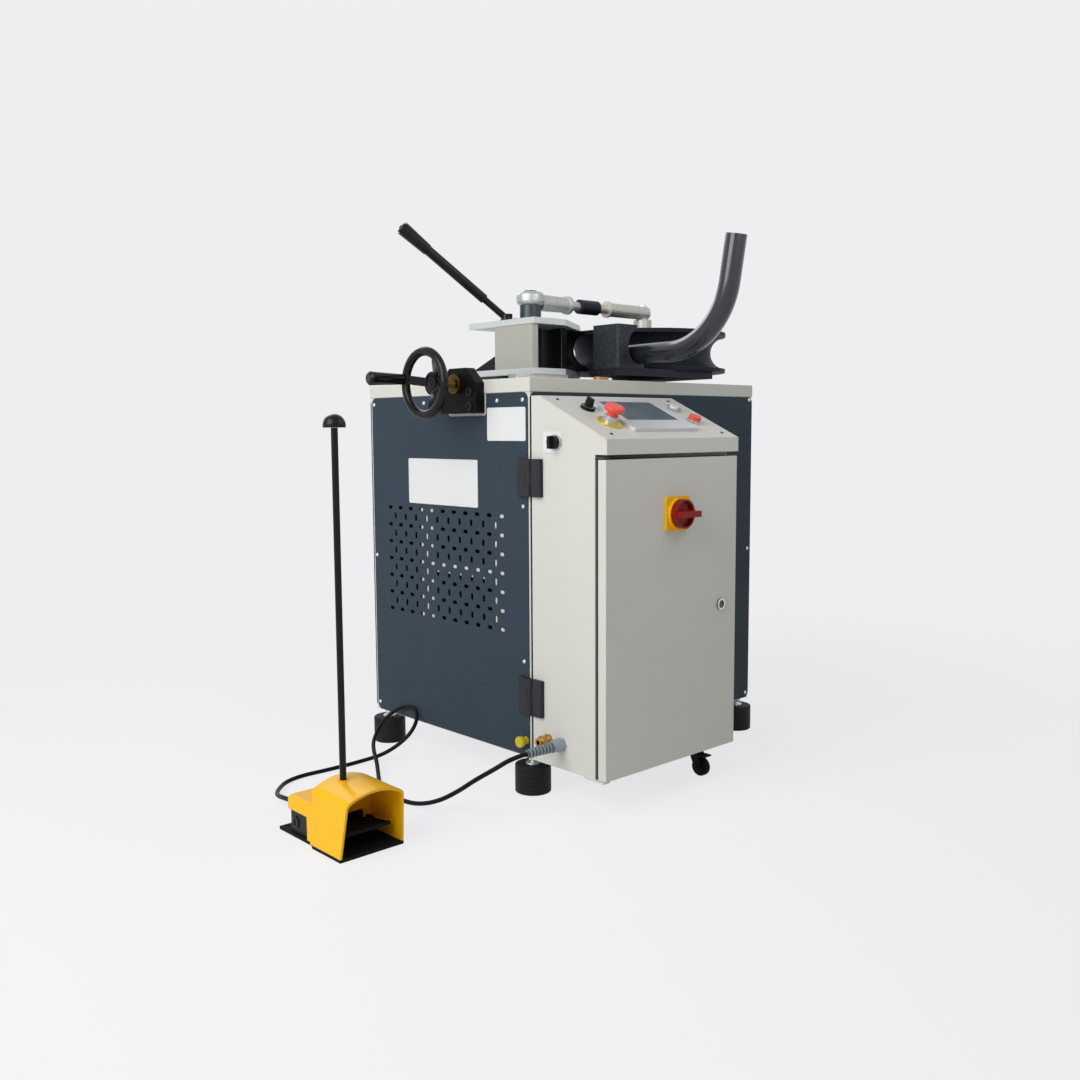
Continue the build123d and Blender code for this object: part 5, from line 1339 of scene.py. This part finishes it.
# Plug of the foot switch's box
bm = bmesh.new()
cap_bolt(bm, facing(BOX_PLUG_AT, TO_LEFT), BOX_PLUG_R, BOX_PLUG_H)
add("switch_box_plug", bm, "base", gloss_black)

# Floor that keeps the shadow and fades into the background
floor_mesh = bpy.data.meshes.new("floor")
half = FLOOR_SIZE / 2
corners = ((-half, -half, 0), (half, -half, 0), (half, half, 0), (-half, half, 0))
floor_mesh.from_pydata(corners, [], [(0, 1, 2, 3)])
floor = bpy.data.objects.new("floor", floor_mesh)
scene.collection.objects.link(floor)
floor.location.z = cad_box[0].z - FLOOR_DROP


def seen_rays(tree):
    """One for what the camera, a gloss or a clear surface sees, and nought for light on the object."""
    rays = tree.nodes.new("ShaderNodeLightPath")
    both = sums(tree, "MAXIMUM", rays.outputs["Is Camera Ray"], rays.outputs["Is Glossy Ray"])
    return sums(tree, "MAXIMUM", both, rays.outputs["Is Transmission Ray"])


def floor_finish():
    """A pale floor that clears away from the object."""
    made = bpy.data.materials.new("floor")
    made.use_nodes = True
    tree = made.node_tree
    tree.nodes.clear()
    out = tree.nodes.new("ShaderNodeOutputMaterial")
    matt = tree.nodes.new("ShaderNodeBsdfDiffuse")
    matt.inputs["Color"].default_value = shade(FLOOR_COLOUR)
    glow = tree.nodes.new("ShaderNodeEmission")
    glow.inputs["Color"].default_value = shade(FLOOR_SHEEN)
    clear = tree.nodes.new("ShaderNodeBsdfTransparent")
    seen = seen_rays(tree)
    near = tree.nodes.new("ShaderNodeMixShader")
    tree.links.new(sums(tree, "MULTIPLY", seen, FLOOR_GLOW), near.inputs["Fac"])
    tree.links.new(matt.outputs["BSDF"], near.inputs[1])
    tree.links.new(glow.outputs["Emission"], near.inputs[2])
    reach = tree.nodes.new("ShaderNodeVectorMath")
    reach.operation = "LENGTH"
    tree.links.new(place(tree), reach.inputs[0])
    fade = spread(tree, reach.outputs["Value"], 0.0, 1.0, *FLOOR_FADE)
    far = tree.nodes.new("ShaderNodeMixShader")
    tree.links.new(sums(tree, "MULTIPLY", seen, fade), far.inputs["Fac"])
    tree.links.new(near.outputs["Shader"], far.inputs[1])
    tree.links.new(clear.outputs["BSDF"], far.inputs[2])
    tree.links.new(far.outputs["Shader"], out.inputs["Surface"])
    return made


floor_mesh.materials.append(floor_finish())

# World
world = bpy.data.worlds.new("studio")
scene.world = world
world.use_nodes = True
tree = world.node_tree
tree.nodes.clear()
out = tree.nodes.new("ShaderNodeOutputWorld")
light = tree.nodes.new("ShaderNodeBackground")
light.inputs["Color"].default_value = WORLD_COLOUR
light.inputs["Strength"].default_value = WORLD_LIGHT
backdrop = tree.nodes.new("ShaderNodeBackground")
backdrop.inputs["Color"].default_value = shade(BACKGROUND)
backdrop.inputs["Strength"].default_value = BACKDROP_LIGHT
choice = tree.nodes.new("ShaderNodeMixShader")
tree.links.new(seen_rays(tree), choice.inputs["Fac"])
tree.links.new(light.outputs["Background"], choice.inputs[1])
tree.links.new(backdrop.outputs["Background"], choice.inputs[2])
tree.links.new(choice.outputs["Shader"], out.inputs["Surface"])


# Lamps
def lamp(name, at, size, power):
    """A square lamp that looks at the object."""
    made = bpy.data.lights.new(name, "AREA")
    made.shape = "SQUARE"
    made.size = size
    made.energy = power
    piece = bpy.data.objects.new(name, made)
    scene.collection.objects.link(piece)
    piece.location = Vector(at) * MM
    aim = (Vector(LAMP_AIM) - Vector(at)) * MM
    piece.rotation_euler = aim.to_track_quat("-Z", "Y").to_euler()


lamp("key", KEY_AT, KEY_SIZE, KEY_POWER)
lamp("front", FRONT_AT, FRONT_SIZE, FRONT_POWER)
lamp("back", BACK_AT, BACK_SIZE, BACK_POWER)

# Camera at the photograph's place
yaw = math.radians(CAMERA_YAW)
pitch = math.radians(CAMERA_PITCH)
roll = math.radians(CAMERA_ROLL)
ahead = Vector((math.sin(yaw) * math.cos(pitch), math.cos(yaw) * math.cos(pitch), -math.sin(pitch)))
level_right = Vector((math.cos(yaw), -math.sin(yaw), 0))
level_down = ahead.cross(level_right)
right = level_right * math.cos(roll) + level_down * math.sin(roll)
down = level_down * math.cos(roll) - level_right * math.sin(roll)
camera_data = bpy.data.cameras.new("camera")
camera_data.sensor_fit = "HORIZONTAL"
camera_data.sensor_width = SENSOR
camera_data.lens = CAMERA_LENS
camera = bpy.data.objects.new("camera", camera_data)
scene.collection.objects.link(camera)
turn = Matrix((right, -down, -ahead)).transposed().to_4x4()
camera.matrix_world = Matrix.Translation(Vector(CAMERA_AT) * MM) @ turn
scene.camera = camera
scene.view_settings.view_transform = "Standard"

# Bring the scene up to date
bpy.context.view_layer.update()
